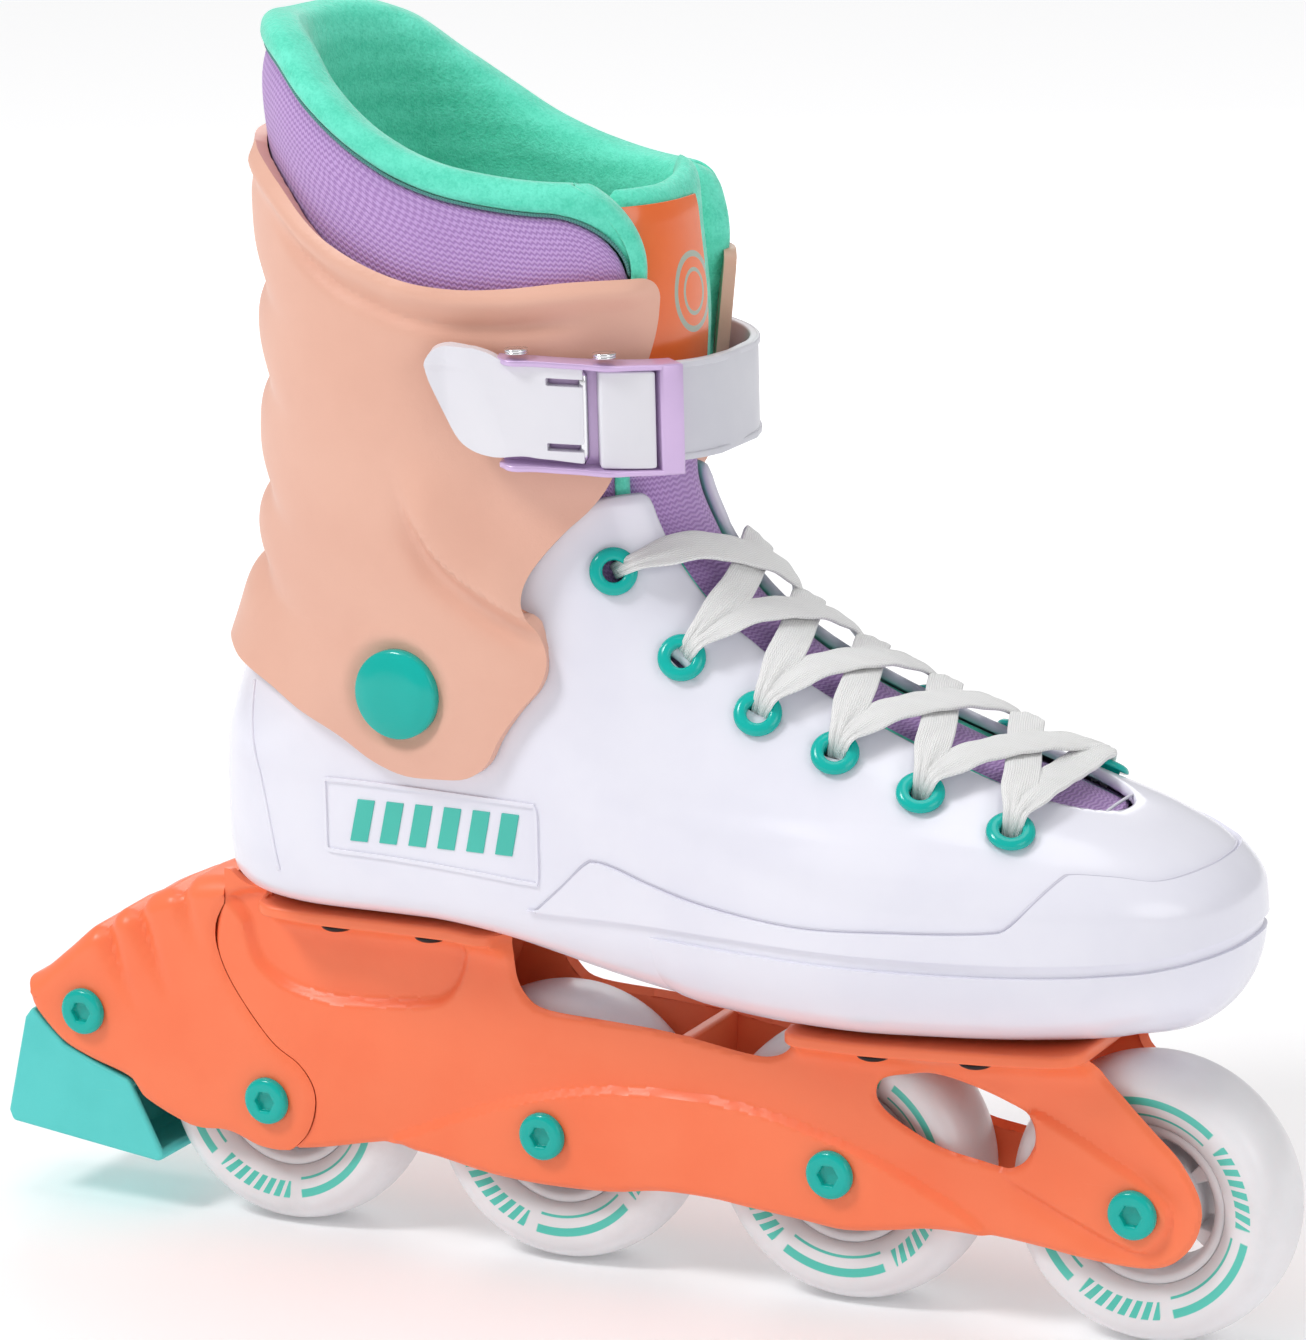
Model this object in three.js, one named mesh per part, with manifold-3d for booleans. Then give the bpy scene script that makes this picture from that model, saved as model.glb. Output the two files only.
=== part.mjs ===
// Inline skate for the right foot: a hollow moulded boot with a padded liner, hinged cuff, buckle and laces,
// on a four-wheel frame with a heel brake. Millimetres, +Z up, +X to the toe, -Y to the outside of the foot.
// Everything is laid out in the skate's own frame: x = 0 over the rear axle, z = 0 on the ground.
// The last group then moves the origin to the foot bed, where the wearer holds the skate.
import * as THREE from "three";
import { mergeVertices } from "three/addons/utils/BufferGeometryUtils.js";
import Module from "manifold-3d";

const wasm = await Module();
wasm.setup();

// ---- driving dimensions -------------------------------------------------------------------------------
const GAP = 0.3;                 // clearance between pieces that touch
const SHELL_LENGTH = 282;        // heel to toe, outside
const BALL_WIDTH = 100;          // widest place of the shell
const SHAFT_WIDTH = 89;          // across the shaft, outside the shell's line
const SHELL_WALL = 3.0;
const CUFF_WALL = 3.2;
const LINER_WALL = 6.5;
const LINER_FLOOR = 3.0;
const INSOLE_THICKNESS = 5.0;
const TONGUE_THICKNESS = 7.0;
const THROAT_WIDTH = 37;         // between the two lace edges of the shell
const TONGUE_WIDTH = 43;

const EYELET_COUNT = 6;
const EYELET_FLANGE = 12;        // outer diameter of the rim
const EYELET_BORE = 5.8;
const EYELET_BARREL = 7.6;
const EYELET_SEAT = 1.0;         // under the rim, over the highest of the surface that it bridges
const LACE_WIDTH = 7.5;
const LACE_THICKNESS = 1.4;

const WHEEL_DIAMETER = 72;
const WHEEL_WIDTH = 24;
const WHEEL_SPACE = 8;            // between neighbouring tyres
const WHEEL_TOP = 72;             // height of the tyres' tops, just under the ball of the sole
const WHEEL_CLEARANCE = 2.0;
const HUB_DIAMETER = 40;
const HUB_WIDTH = 17;
const BEARING_DIAMETER = 22;
const BEARING_BORE = 8;
const BEARING_WIDTH = 7;
const AXLE_HEAD = 12.4;
const AXLE_HEX = 5;

const FRAME_INNER = 25.2;        // between the frame's side walls
const FRAME_WALL = 3.6;
const FRAME_REAR_WALL = 1.6;     // thinned where the brake bracket lies over it
const FLANGE_WIDTH = 54;
const FLANGE_THICKNESS = 3.4;
const BRACKET_WALL = 2.6;
const PAD_WIDTH = 34;
const BRAKE_BOLT = 6;

const PIVOT_HEAD = 22.5;
const PIVOT_SHANK = 10;
const STRAP_HEIGHT = 24;
const STRAP_THICKNESS = 2.2;
const BUCKLE_HEIGHT = 27;

const WHEEL_PITCH = WHEEL_DIAMETER + WHEEL_SPACE;
const KX = SHELL_LENGTH / 282;
const KY = BALL_WIDTH / 100;
const KS = SHAFT_WIDTH / 89;

// ---- small solid toolkit ------------------------------------------------------------------------------
function solid(geometry) {
  geometry.deleteAttribute("normal");
  geometry.deleteAttribute("uv");
  const g = mergeVertices(geometry, 1e-4);
  const vertProperties = new Float32Array(g.attributes.position.array);
  const triVerts = new Uint32Array(g.index.array);
  return new wasm.Manifold(new wasm.Mesh({ numProp: 3, vertProperties, triVerts }));
}

function geometryOf(body) {
  const m = body.getMesh();
  const g = new THREE.BufferGeometry();
  g.setAttribute("position", new THREE.Float32BufferAttribute(Array.from(m.vertProperties), 3));
  g.setIndex(Array.from(m.triVerts));
  return g;
}

function union(...bodies) {
  return bodies.reduce((a, b) => a.add(b));
}

// drops the slivers of enclosed air that crossing bands can leave between them
function solidOnly(body) {
  return union(...body.decompose().filter((piece) => piece.volume() > 1));
}

function outline(points) {
  return new THREE.Shape(points.map(([a, b]) => new THREE.Vector2(a, b)));
}

// a side-view outline (x, z), as a straight slab from y0 to y1
function slab(shape, y0, y1, steps = 4) {
  const g = new THREE.ExtrudeGeometry(shape, { depth: y1 - y0, bevelEnabled: false, curveSegments: steps });
  g.rotateX(Math.PI / 2);
  g.translate(0, y1, 0);
  return solid(g);
}

// a plan outline (x, y), as a straight block from z0 to z1
function block(shape, z0, z1, steps = 4) {
  const g = new THREE.ExtrudeGeometry(shape, { depth: z1 - z0, bevelEnabled: false, curveSegments: steps });
  g.translate(0, 0, z0);
  return solid(g);
}

// a round bar along Y
function bar(radius, x, z, y0, y1, sides = 24) {
  const g = new THREE.CylinderGeometry(radius, radius, y1 - y0, sides);
  g.translate(x, (y0 + y1) / 2, 0);
  g.translate(0, 0, z);
  return solid(g);
}

// a turned profile of [radius, height] pairs about local +Y, closed on itself
function turned(profile, sides) {
  const pts = profile.map(([r, h]) => new THREE.Vector2(r, h));
  if (THREE.ShapeUtils.area(pts) < 0) pts.reverse();
  if (profile[0][0] > 0) pts.push(pts[0].clone());
  return new THREE.LatheGeometry(pts, sides);
}

function smooth(points, count, closed = false) {
  const curve = new THREE.CatmullRomCurve3(points.map(([a, b]) => new THREE.Vector3(a, b, 0)), closed);
  const out = curve.getPoints(count).map((p) => [p.x, p.y]);
  if (closed) out.pop();
  return out;
}

const mix = (a, b, t) => a + (b - a) * t;

function ramp(a, b, x) {
  const t = Math.min(1, Math.max(0, (x - a) / (b - a)));
  return t * t * (3 - 2 * t);
}

// monotone curve through stations: no overshoot between them
function along(xs, ys, x) {
  const n = xs.length;
  if (x <= xs[0]) return ys[0];
  if (x >= xs[n - 1]) return ys[n - 1];
  let i = 0;
  while (x > xs[i + 1]) i++;
  const slope = (k) => (ys[k + 1] - ys[k]) / (xs[k + 1] - xs[k]);
  const tangent = (k) => {
    if (k <= 0) return slope(0);
    if (k >= n - 1) return slope(n - 2);
    const a = slope(k - 1);
    const b = slope(k);
    return a * b <= 0 ? 0 : (2 * a * b) / (a + b);
  };
  const h = xs[i + 1] - xs[i];
  const t = (x - xs[i]) / h;
  const t2 = t * t;
  const t3 = t2 * t;
  const ends = (2 * t3 - 3 * t2 + 1) * ys[i] + (3 * t2 - 2 * t3) * ys[i + 1];
  return ends + (t3 - 2 * t2 + t) * tangent(i) * h + (t3 - t2) * tangent(i + 1) * h;
}

// closed body from rings of equal length, with a fan over each end
function loft(rings) {
  const n = rings[0].length;
  const position = rings.flat().flatMap((p) => [p.x, p.y, p.z]);
  const index = [];
  for (let k = 0; k + 1 < rings.length; k++) {
    for (let i = 0; i < n; i++) {
      const a = k * n + i;
      const b = k * n + ((i + 1) % n);
      index.push(a, b, b + n, a, b + n, a + n);
    }
  }
  const last = (rings.length - 1) * n;
  for (const [base, flip] of [[0, true], [last, false]]) {
    const c = position.length / 3;
    const mid = [0, 1, 2].map((j) => {
      let s = 0;
      for (let i = 0; i < n; i++) s += position[3 * (base + i) + j];
      return s / n;
    });
    position.push(...mid);
    for (let i = 0; i < n; i++) {
      const a = base + i;
      const b = base + ((i + 1) % n);
      index.push(...(flip ? [b, a, c] : [a, b, c]));
    }
  }
  const g = new THREE.BufferGeometry();
  g.setAttribute("position", new THREE.Float32BufferAttribute(position, 3));
  g.setIndex(index);
  return solid(g);
}

// ---- the boot's form ----------------------------------------------------------------------------------
// Level sections of the shell's outside, from the sole up to the collar:
// [height, heel x, front x, half width at the heel, waist outside, waist inside, ball outside, ball inside,
//  how far the front swings to the inside of the foot]
const LEVELS = [
  [86, -5, 252, 30, 33, 32, 42, 41, 4],
  [96, -8.5, 260, 36.5, 39, 38, 49, 47.5, 4.5],
  [104, -10, 262.5, 39, 41.5, 40.5, 50.5, 49, 5],
  [112, -10.5, 262, 39.5, 42, 41, 50.5, 49, 5],
  [121, -10.3, 255.5, 39.5, 42.5, 41.5, 49, 47.5, 5],
  [128, -10, 243.5, 39.5, 42.5, 41.5, 46, 44, 4.5],
  [134, -9, 227, 40, 42.5, 41.5, 43, 40, 4],
  [145, -7, 198, 40.5, 42.5, 41.5, 39.5, 35, 2.5],
  [156, -4, 172, 41, 42.5, 41.5, 38, 33.5, 1],
  [168, 0, 150, 41.5, 42.5, 41.5, 38, 34, 0],
  [181, 4, 134, 41.5, 42.5, 41.5, 38.5, 35, 0],
  [192, 6.5, 125.5, 42, 42.5, 42, 39, 36, 0],
  [206, 8, 120, 42.5, 43, 42.5, 39, 37, 0],
  [235, 9.5, 121, 44.5, 44.5, 44, 40, 39, 0],
  [275, 9, 125, 44.5, 44.5, 44, 40.5, 40, 0],
  [318, 9.5, 127, 44, 44.5, 44, 40.5, 40, 0],
];
const HEIGHTS = LEVELS.map((r) => r[0]);

function level(z, k) {
  return along(HEIGHTS, LEVELS.map((r) => r[k]), z);
}

const heelX = (z) => level(z, 1) * KX;
const frontX = (z) => level(z, 2) * KX;

function widthScale(z) {
  return mix(KY, KS, ramp(150, 210, z));
}

// half width of the outside at share s of the way from heel to front; side -1 is the outside of the foot
function halfWidth(z, s, side) {
  const upright = ramp(134, 175, z);
  const heelEnd = mix(0.15, 0.4, upright);
  const toeStart = mix(0.6, 0.5, upright);
  const toePower = mix(2.5, 2.35, upright);
  const heelPower = mix(2.2, 2.0, upright);
  const heel = level(z, 3);
  const waist = level(z, side < 0 ? 4 : 5);
  const ball = level(z, side < 0 ? 6 : 7);
  const body = along([0, 0.2, 0.45, 0.72, 1], [heel, heel, waist, ball, ball * 0.97], s);
  const back = Math.max(0, (heelEnd - s) / heelEnd);
  const fore = Math.max(0, (s - toeStart) / (1 - toeStart));
  const rear = Math.pow(Math.max(0, 1 - Math.pow(back, heelPower)), 1 / heelPower);
  const front = Math.pow(Math.max(0, 1 - Math.pow(fore, toePower)), 1 / toePower);
  return body * rear * front * widthScale(z);
}

function formPoint(z, s, side) {
  const x = mix(heelX(z), frontX(z), s);
  const y = side * halfWidth(z, s, side) + level(z, 8) * ramp(0.35, 1, s) * KY;
  return new THREE.Vector3(x, y, z);
}

const SHARES = [0, 0.015, 0.065, 0.16, 0.32, 0.5, 0.65, 0.78, 0.88, 0.95, 0.988, 1];
const BODY_LEVELS = [84, 97, 106, 114, 121, 128, 136, 147, 159, 173, 190, 208, 236, 270, 330];
const SHELL_LEVELS = BODY_LEVELS.filter((z) => z > 90 && z < 210);

// the form's surface at one level, moved inwards by a distance square to the surface
function formRing(z, inset) {
  const ring = [];
  const put = (s, side) => {
    const p = formPoint(z, s, side);
    const ds = 0.004;
    const dz = 1.0;
    const s0 = Math.max(0, s - ds);
    const s1 = Math.min(1, s + ds);
    let alongS = formPoint(z, s1, side).sub(formPoint(z, s0, side)).multiplyScalar(side < 0 ? 1 : -1);
    if (s === 0 || s === 1) {
      const t = s === 0 ? s1 : s0;
      alongS = formPoint(z, t, -1).sub(formPoint(z, t, 1)).multiplyScalar(s === 0 ? 1 : -1);
    }
    const up = formPoint(z + dz, s, side).sub(formPoint(z - dz, s, side));
    const normal = alongS.cross(up).normalize();
    ring.push(p.addScaledVector(normal, -inset));
  };
  SHARES.forEach((s) => put(s, -1));
  SHARES.slice(1, -1).reverse().forEach((s) => put(s, 1));
  return ring;
}

function form(inset, levels) {
  return loft(levels.map((z) => formRing(z, typeof inset === "function" ? inset(z) : inset)));
}

// point and outward normal on the form's upper side, straight above a plan position
function surfaceAt(x, y) {
  let low = 90;
  let high = 330;
  for (let i = 0; i < 50; i++) {
    const z = (low + high) / 2;
    const span = frontX(z) - heelX(z);
    const s = Math.min(1, Math.max(0, (x - heelX(z)) / span));
    const shift = level(z, 8) * ramp(0.35, 1, s) * KY;
    const side = y < shift ? -1 : 1;
    const within = x < frontX(z) && Math.abs(y - shift) < halfWidth(z, s, side);
    if (within) low = z;
    else high = z;
  }
  return new THREE.Vector3(x, y, low);
}

function surfaceNormal(x, y) {
  const d = 1.5;
  const ax = surfaceAt(x + d, y).sub(surfaceAt(x - d, y));
  const ay = surfaceAt(x, y + d).sub(surfaceAt(x, y - d));
  return ax.cross(ay).normalize();
}

// ---- where the shell meets the sole -------------------------------------------------------------------
const SEAM_X = [-20, 50, 98, 150, 187, 222, 249, 263, 276].map((x) => x * KX);
const SEAM_Z = [104, 103, 101.5, 100.5, 101, 104, 107.5, 111, 116];
const seam = (x) => along(SEAM_X, SEAM_Z, x);

// everything above the seam's surface, moved up by a distance
function aboveSeam(lift, y = 80) {
  const pts = [];
  for (const x of [-60, -20, 20, 60, 98, 130, 160, 187, 205, 222, 236, 249, 257, 266, 300]) {
    pts.push([x * KX, seam(x * KX) + lift]);
  }
  pts.push([300 * KX, 420], [-60 * KX, 420]);
  return slab(outline(pts), -y, y);
}

// ---- sole ---------------------------------------------------------------------------------------------
const KEEL_X = [-12, -9, -3, 8, 25, 56, 76, 93, 107, 120, 136, 153, 170, 189, 211, 233, 243, 252, 258, 262, 264];
const KEEL_Z = [103, 97.5, 93.8, 92, 91.3, 91.3, 89, 84.8, 81, 78.2, 75.8, 74.5, 74.3, 75, 76, 78, 80.3, 84.5,
  89, 95, 103];
const SOLE_SIDES = [-1, -0.975, -0.9, -0.74, -0.45, 0, 0.45, 0.74, 0.9, 0.975, 1];

function soleEnds() {
  const at = (toe) => {
    let x = toe ? 255 * KX : 0;
    for (let i = 0; i < 60; i++) {
      const edge = toe ? frontX(seam(x)) : heelX(seam(x));
      x += (edge - x) * 0.5;
    }
    return x;
  };
  return [at(false), at(true)];
}

function soleHalf(x, side) {
  const z = seam(x);
  const s = Math.min(1, Math.max(0, (x - heelX(z)) / (frontX(z) - heelX(z))));
  const shift = level(z, 8) * ramp(0.35, 1, s) * KY;
  return side * halfWidth(z, s, side) + shift;
}

const keel = (x) => along(KEEL_X.map((v) => v * KX), KEEL_Z, x);

// grown: the room the sole takes, with its clearance below and open above
function makeSole(grown = false) {
  const [heel, toe] = soleEnds();
  const rings = [];
  const shares = [0.002, 0.012, 0.04, 0.1, 0.2, 0.3, 0.38, 0.46, 0.54, 0.64, 0.74, 0.83, 0.9, 0.95, 0.98,
    0.997];
  for (const t of shares) {
    const x = mix(heel, toe, t);
    const top = seam(x) - GAP;
    const bottom = Math.min(keel(x), top - 1.2) - (grown ? GAP : 0);
    const left = soleHalf(x, -1);
    const right = soleHalf(x, 1);
    const ring = [];
    for (const u of SOLE_SIDES) {
      const y = mix(left, right, (u + 1) / 2);
      const drop = Math.pow(Math.max(0, 1 - Math.pow(Math.abs(u), 2.6)), 1 / 2.1);
      ring.push(new THREE.Vector3(x, y, mix(top, bottom, drop)));
    }
    for (const u of [0.5, -0.5]) {
      ring.push(new THREE.Vector3(x, mix(left, right, (u + 1) / 2), top + (grown ? 30 : 0)));
    }
    rings.push(ring);
  }
  return loft(rings);
}

// ---- side-view cuts of the boot -----------------------------------------------------------------------
function shellTop() {
  const line = [[-40, 176], [10, 176], [45, 180], [80, 190], [100, 203], [112, 206], [160, 206]];
  return slab(outline([...line, [160, 340], [-40, 340]].map(([x, z]) => [x * KX, z])), -90, 90);
}

function throatOutline(half, toeX) {
  const nose = Math.min(half * 0.75, 14);
  const right = [[86, half], [190, half], [216, half * 0.86], [toeX - nose * 0.5, nose * 0.75], [toeX, 0]];
  const left = right.slice(0, -1).reverse().map(([x, y]) => [x, -y]);
  const swing = (x) => 4 * ramp(120, 240, x) * KY;
  return outline([...right, ...left].map(([x, y]) => [x * KX, y + swing(x)]));
}

function throatCut(half, toeX) {
  return block(throatOutline(half, toeX), 122, 360).subtract(belowThroat());
}

// keeps a cut through the instep out of the heel and the sides below it
function belowThroat() {
  const pts = [[-60, 60], [-60, 400], [84, 400], [88, 190], [118, 152], [170, 128], [232, 119], [280, 119],
    [280, 60]];
  return slab(outline(pts.map(([x, z]) => [x * KX, z])), -90, 90);
}

// ---- shell --------------------------------------------------------------------------------------------

function eyeletPlaces() {
  const place = [[111, -30], [129, -30], [149, -30], [169, -30], [191, -30], [214, -30]];
  const list = [];
  for (let i = 0; i < EYELET_COUNT; i++) {
    const f = (i / (EYELET_COUNT - 1)) * (place.length - 1);
    const a = place[Math.floor(f)];
    const b = place[Math.ceil(f)];
    const x = mix(a[0], b[0], f % 1) * KX;
    const out = THROAT_WIDTH / 2 + EYELET_FLANGE / 2 + 5;
    const swing = 4 * ramp(120 * KX, 240 * KX, x) * KY;
    for (const side of [-1, 1]) {
      const y = side < 0 ? -out : out + swing * 0.5;
      list.push({ index: i, side, at: surfaceAt(x, y), normal: surfaceNormal(x, y) });
    }
  }
  return list;
}

function placed(geometry, at, normal) {
  const q = new THREE.Quaternion().setFromUnitVectors(new THREE.Vector3(0, 1, 0), normal);
  geometry.applyQuaternion(q);
  geometry.translate(at.x, at.y, at.z);
  return geometry;
}

// height of an eyelet's rim over its place: the instep is hollow, so the surface rises round it
function seatOf(place) {
  const side = new THREE.Vector3(0, 1, 0).cross(place.normal).normalize();
  const fore = side.clone().cross(place.normal);
  let rise = 0;
  for (let i = 0; i < 8; i++) {
    const t = (i / 8) * Math.PI * 2;
    const q = place.at.clone().addScaledVector(place.normal, -4);
    q.addScaledVector(side, (Math.cos(t) * EYELET_FLANGE) / 2);
    q.addScaledVector(fore, (Math.sin(t) * EYELET_FLANGE) / 2);
    rise = Math.max(rise, depthUnder(q, place.normal) - 4);
  }
  return EYELET_SEAT + rise;
}

function eyelet(place) {
  const r = EYELET_BORE / 2;
  const b = EYELET_BARREL / 2;
  const f = EYELET_FLANGE / 2;
  const under = seatOf(place);
  const profile = [[r, -SHELL_WALL], [b, -SHELL_WALL], [b, under], [f, under], [f - 0.9, under + 1.2],
    [r, under + 1.2]];
  return solid(placed(turned(profile, 8), place.at, place.normal));
}

function eyeletHole(place) {
  const r = EYELET_BARREL / 2 + GAP;
  const profile = [[0, -SHELL_WALL - 2], [r, -SHELL_WALL - 2], [r, 3], [0, 3]];
  return solid(placed(turned(profile, 8), place.at, place.normal));
}

const PIVOT_X = 59;
const PIVOT_Z = 156;

function pivotFace(side) {
  const s = (PIVOT_X * KX - heelX(PIVOT_Z)) / (frontX(PIVOT_Z) - heelX(PIVOT_Z));
  return formPoint(PIVOT_Z, s, side).y;
}

function pivotHole(side, radius) {
  const y = pivotFace(side);
  const a = Math.min(y - side * 20, y + side * 20);
  return bar(radius, PIVOT_X * KX, PIVOT_Z, a, a + 40, 16);
}

function makeShell(places) {
  let body = form(0, SHELL_LEVELS).intersect(aboveSeam(0));
  const inner = form(SHELL_WALL, BODY_LEVELS);
  body = body.subtract(inner);
  body = body.subtract(throatCut(THROAT_WIDTH / 2, 232));
  body = body.subtract(shellTop());
  for (const side of [-1, 1]) body = body.subtract(pivotHole(side, PIVOT_SHANK / 2 + GAP));
  for (const p of places) body = body.subtract(eyeletHole(p));
  return body;
}

// ---- liner, tongue and insole -------------------------------------------------------------------------
const LINER_CLEAR = 1.2;
const linerOutside = (z) => mix(SHELL_WALL + LINER_CLEAR, 0.4, ramp(208, 232, z));
const linerInside = (z) => linerOutside(z) + LINER_WALL;

function collarCut() {
  const rim = [[-40, 305], [-4, 309], [5, 315], [14, 318], [24, 315], [37, 305], [51, 295.5], [64, 288.5], [78, 284],
    [96, 281], [112, 280], [120, 276], [127, 268], [160, 262]];
  return slab(outline([...rim, [160, 400], [-40, 400]].map(([x, z]) => [x * KX, z])), -90, 90);
}

function tongueBand(half, start, extra) {
  const pts = [[88, 400], [88, 196 - extra], [104, 172 - extra], [126, 152 - extra], [170, 131 - extra],
    [start, 116], [start + 30, 116], [start + 30, 160], [200, 185], [160, 220], [150, 400]];
  const side = slab(outline(pts.map(([x, z]) => [x * KX, z])), -90, 90);
  const swing = (x) => 4 * ramp(120, 240, x) * KY;
  const edge = [80, 120, 150, 180, 205, 225, 240, 262];
  const lower = edge.map((x) => [x * KX, -half + swing(x)]);
  const upper = edge.slice().reverse().map((x) => [x * KX, half + swing(x)]);
  return side.intersect(block(outline([...lower, ...upper]), 100, 380));
}

function makeLiner() {
  const inside = form(linerInside, BODY_LEVELS).intersect(aboveSeam(LINER_FLOOR + GAP));
  let body = form(linerOutside, BODY_LEVELS).intersect(aboveSeam(GAP)).subtract(inside);
  body = body.subtract(collarCut());
  return body.subtract(tongueBand(TONGUE_WIDTH / 2 + 0.5, 224, 1));
}

function makeTongue() {
  const outer = (z) => SHELL_WALL + 0.6 - 2.6 * ramp(212, 228, z);
  const body = form(outer, BODY_LEVELS).subtract(form((z) => outer(z) + TONGUE_THICKNESS, BODY_LEVELS));
  const top = slab(outline([[60, 279], [200, 279], [200, 420], [60, 420]].map(([x, z]) => [x * KX, z])), -60, 60);
  return body.intersect(tongueBand(TONGUE_WIDTH / 2, 222, 0)).subtract(top);
}

function makeInsole() {
  const z0 = LINER_FLOOR + 2 * GAP;
  const inside = form((z) => linerInside(z) + 0.5, BODY_LEVELS);
  return inside.intersect(aboveSeam(z0)).subtract(aboveSeam(z0 + INSOLE_THICKNESS));
}

// ---- cuff ---------------------------------------------------------------------------------------------
const CUFF_LEVELS = BODY_LEVELS.filter((z) => z > 120 && z < 300);
const CUFF_CLEAR = 0.5;

function cuffSide() {
  const low = [[-30, 161], [-4, 161], [7, 158], [20, 154], [30, 149], [41, 143.5], [50, 138], [59, 135],
    [68, 135], [77, 136], [83, 140], [87, 147], [92, 154], [97, 160], [98.5, 166], [96, 173], [93, 181],
    [95, 189], [103, 199], [114, 208], [124, 213], [140, 214]];
  const top = [[140, 259], [106, 259], [90, 257.5], [77, 257.5], [63, 260], [48, 266], [38, 272], [28, 280],
    [18, 286], [8, 289.5], [-30, 290.5]];
  return slab(outline([...low, ...top].map(([x, z]) => [x * KX, z])), -90, 90);
}

function makeCuff() {
  const outer = form(-CUFF_CLEAR - CUFF_WALL, CUFF_LEVELS);
  let body = outer.subtract(form(-CUFF_CLEAR, [112, ...CUFF_LEVELS, 330])).intersect(cuffSide());
  const gap = outline([[96, -29], [170, -29], [170, 27], [96, 27]].map(([x, y]) => [x * KX, y]));
  body = body.subtract(block(gap, 190, 330));
  for (const side of [-1, 1]) {
    const y = pivotFace(side) + side * (CUFF_CLEAR + 1.3);
    const [a, b] = side < 0 ? [y - 12, y] : [y, y + 12];
    body = body.subtract(pivotHole(side, PIVOT_SHANK / 2 + GAP));
    body = body.subtract(bar(PIVOT_HEAD / 2 + GAP, PIVOT_X * KX, PIVOT_Z, a, b, 16));
  }
  return body;
}

function makePivot(side) {
  const r = PIVOT_HEAD / 2;
  const seat = CUFF_CLEAR + 1.3 + GAP;
  const profile = [[0, -SHELL_WALL + 0.2], [PIVOT_SHANK / 2, -SHELL_WALL + 0.2], [PIVOT_SHANK / 2, seat], [r, seat],
    [r, seat + 2.6], [r * 0.7, seat + 4.4], [0, seat + 5.2]];
  const at = new THREE.Vector3(PIVOT_X * KX, pivotFace(side), PIVOT_Z);
  return solid(placed(turned(profile, 16), at, new THREE.Vector3(0, side, 0)));
}

// ---- buckle and strap ---------------------------------------------------------------------------------
const STRAP_Z = 231;
const STRAP_TILT = 0.06;
const CUFF_OUT = CUFF_CLEAR + CUFF_WALL;

// plan line at a distance outside the cuff, bulging at the front; share 0 is the outside, 1 the inside
function strapLine(out, from, to, count) {
  const z = STRAP_Z;
  const bulge = 4.5;
  const pts = [];
  for (let i = 0; i <= count; i++) {
    const a = mix(from, to, i / count);
    const side = a < 1 ? -1 : 1;
    const s = a < 1 ? a : 2 - a;
    const e = 0.012;
    const p = formPoint(z, s, side);
    const q = formPoint(z, Math.max(0, s - e), side);
    const t = p.clone().sub(q).setZ(0).normalize();
    let n = side < 0 ? new THREE.Vector3(t.y, -t.x, 0) : new THREE.Vector3(-t.y, t.x, 0);
    if (Math.abs(s - 1) < 1e-6) n = new THREE.Vector3(1, 0, 0);
    pts.push(p.addScaledVector(n, out + CUFF_OUT + bulge * ramp(0.72, 1, s)));
  }
  return pts.map((p) => [p.x, p.y]);
}

function strapPlate(inner, thickness, from, to, height, count, drop = 0) {
  const a = strapLine(inner, from, to, count);
  const b = strapLine(inner + thickness, from, to, count).reverse();
  const body = block(outline([...a, ...b]), -height / 2 - drop, height / 2 - drop);
  return tilted(body);
}

function tilted(body) {
  const x = 60 * KX;
  return body.translate([-x, 0, 0]).rotate([0, (STRAP_TILT * 180) / Math.PI, 0]).translate([x, 0, STRAP_Z]);
}

function makeStrap() {
  return strapPlate(0.5, STRAP_THICKNESS, 0.8, 1.42, STRAP_HEIGHT, 14);
}

function makeBuckleBase() {
  const start = 0.705;
  const end = 0.955;
  const back = strapPlate(0.5 + STRAP_THICKNESS + GAP, 1.2, start, end, BUCKLE_HEIGHT, 8);
  const rails = [];
  for (const side of [-1, 1]) {
    rails.push(strapPlate(0.5 + STRAP_THICKNESS + GAP, 6.4, start, end, 1.4, 8, side * (BUCKLE_HEIGHT / 2 - 0.7)));
  }
  const lip = strapPlate(0.5 + STRAP_THICKNESS + GAP, 6.4, end - 0.022, end, BUCKLE_HEIGHT, 2);
  return union(back, ...rails, lip);
}

function makeBuckleBlock() {
  const height = BUCKLE_HEIGHT - 2 * (1.4 + GAP);
  return strapPlate(0.5 + STRAP_THICKNESS + GAP + 1.2 + GAP, 4.6, 0.868, 0.926, height, 3);
}

function makeLever() {
  const inner = 0.5 + STRAP_THICKNESS + GAP + 1.2 + GAP;
  const height = BUCKLE_HEIGHT - 2 * (1.4 + GAP);
  const plate = strapPlate(inner, 4.0, 0.545, 0.845, height, 8);
  const end = [[74.5, 241], [77, 244.5], [90, 246], [170, 246], [170, 208], [90, 217.5], [84, 219.5],
    [80.5, 223]];
  return plate.intersect(slab(outline(end.map(([x, z]) => [x * KX, z])), -90, 0));
}

function makeBucklePin(share) {
  const p = strapLine(0.5 + STRAP_THICKNESS + GAP + 4.0, share, share + 0.001, 1)[0];
  const g = new THREE.CylinderGeometry(1.9, 1.9, 1.3, 10);
  g.rotateX(Math.PI / 2);
  g.translate(p[0], p[1], BUCKLE_HEIGHT / 2 + GAP + 0.65);
  return tilted(solid(g));
}

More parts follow.
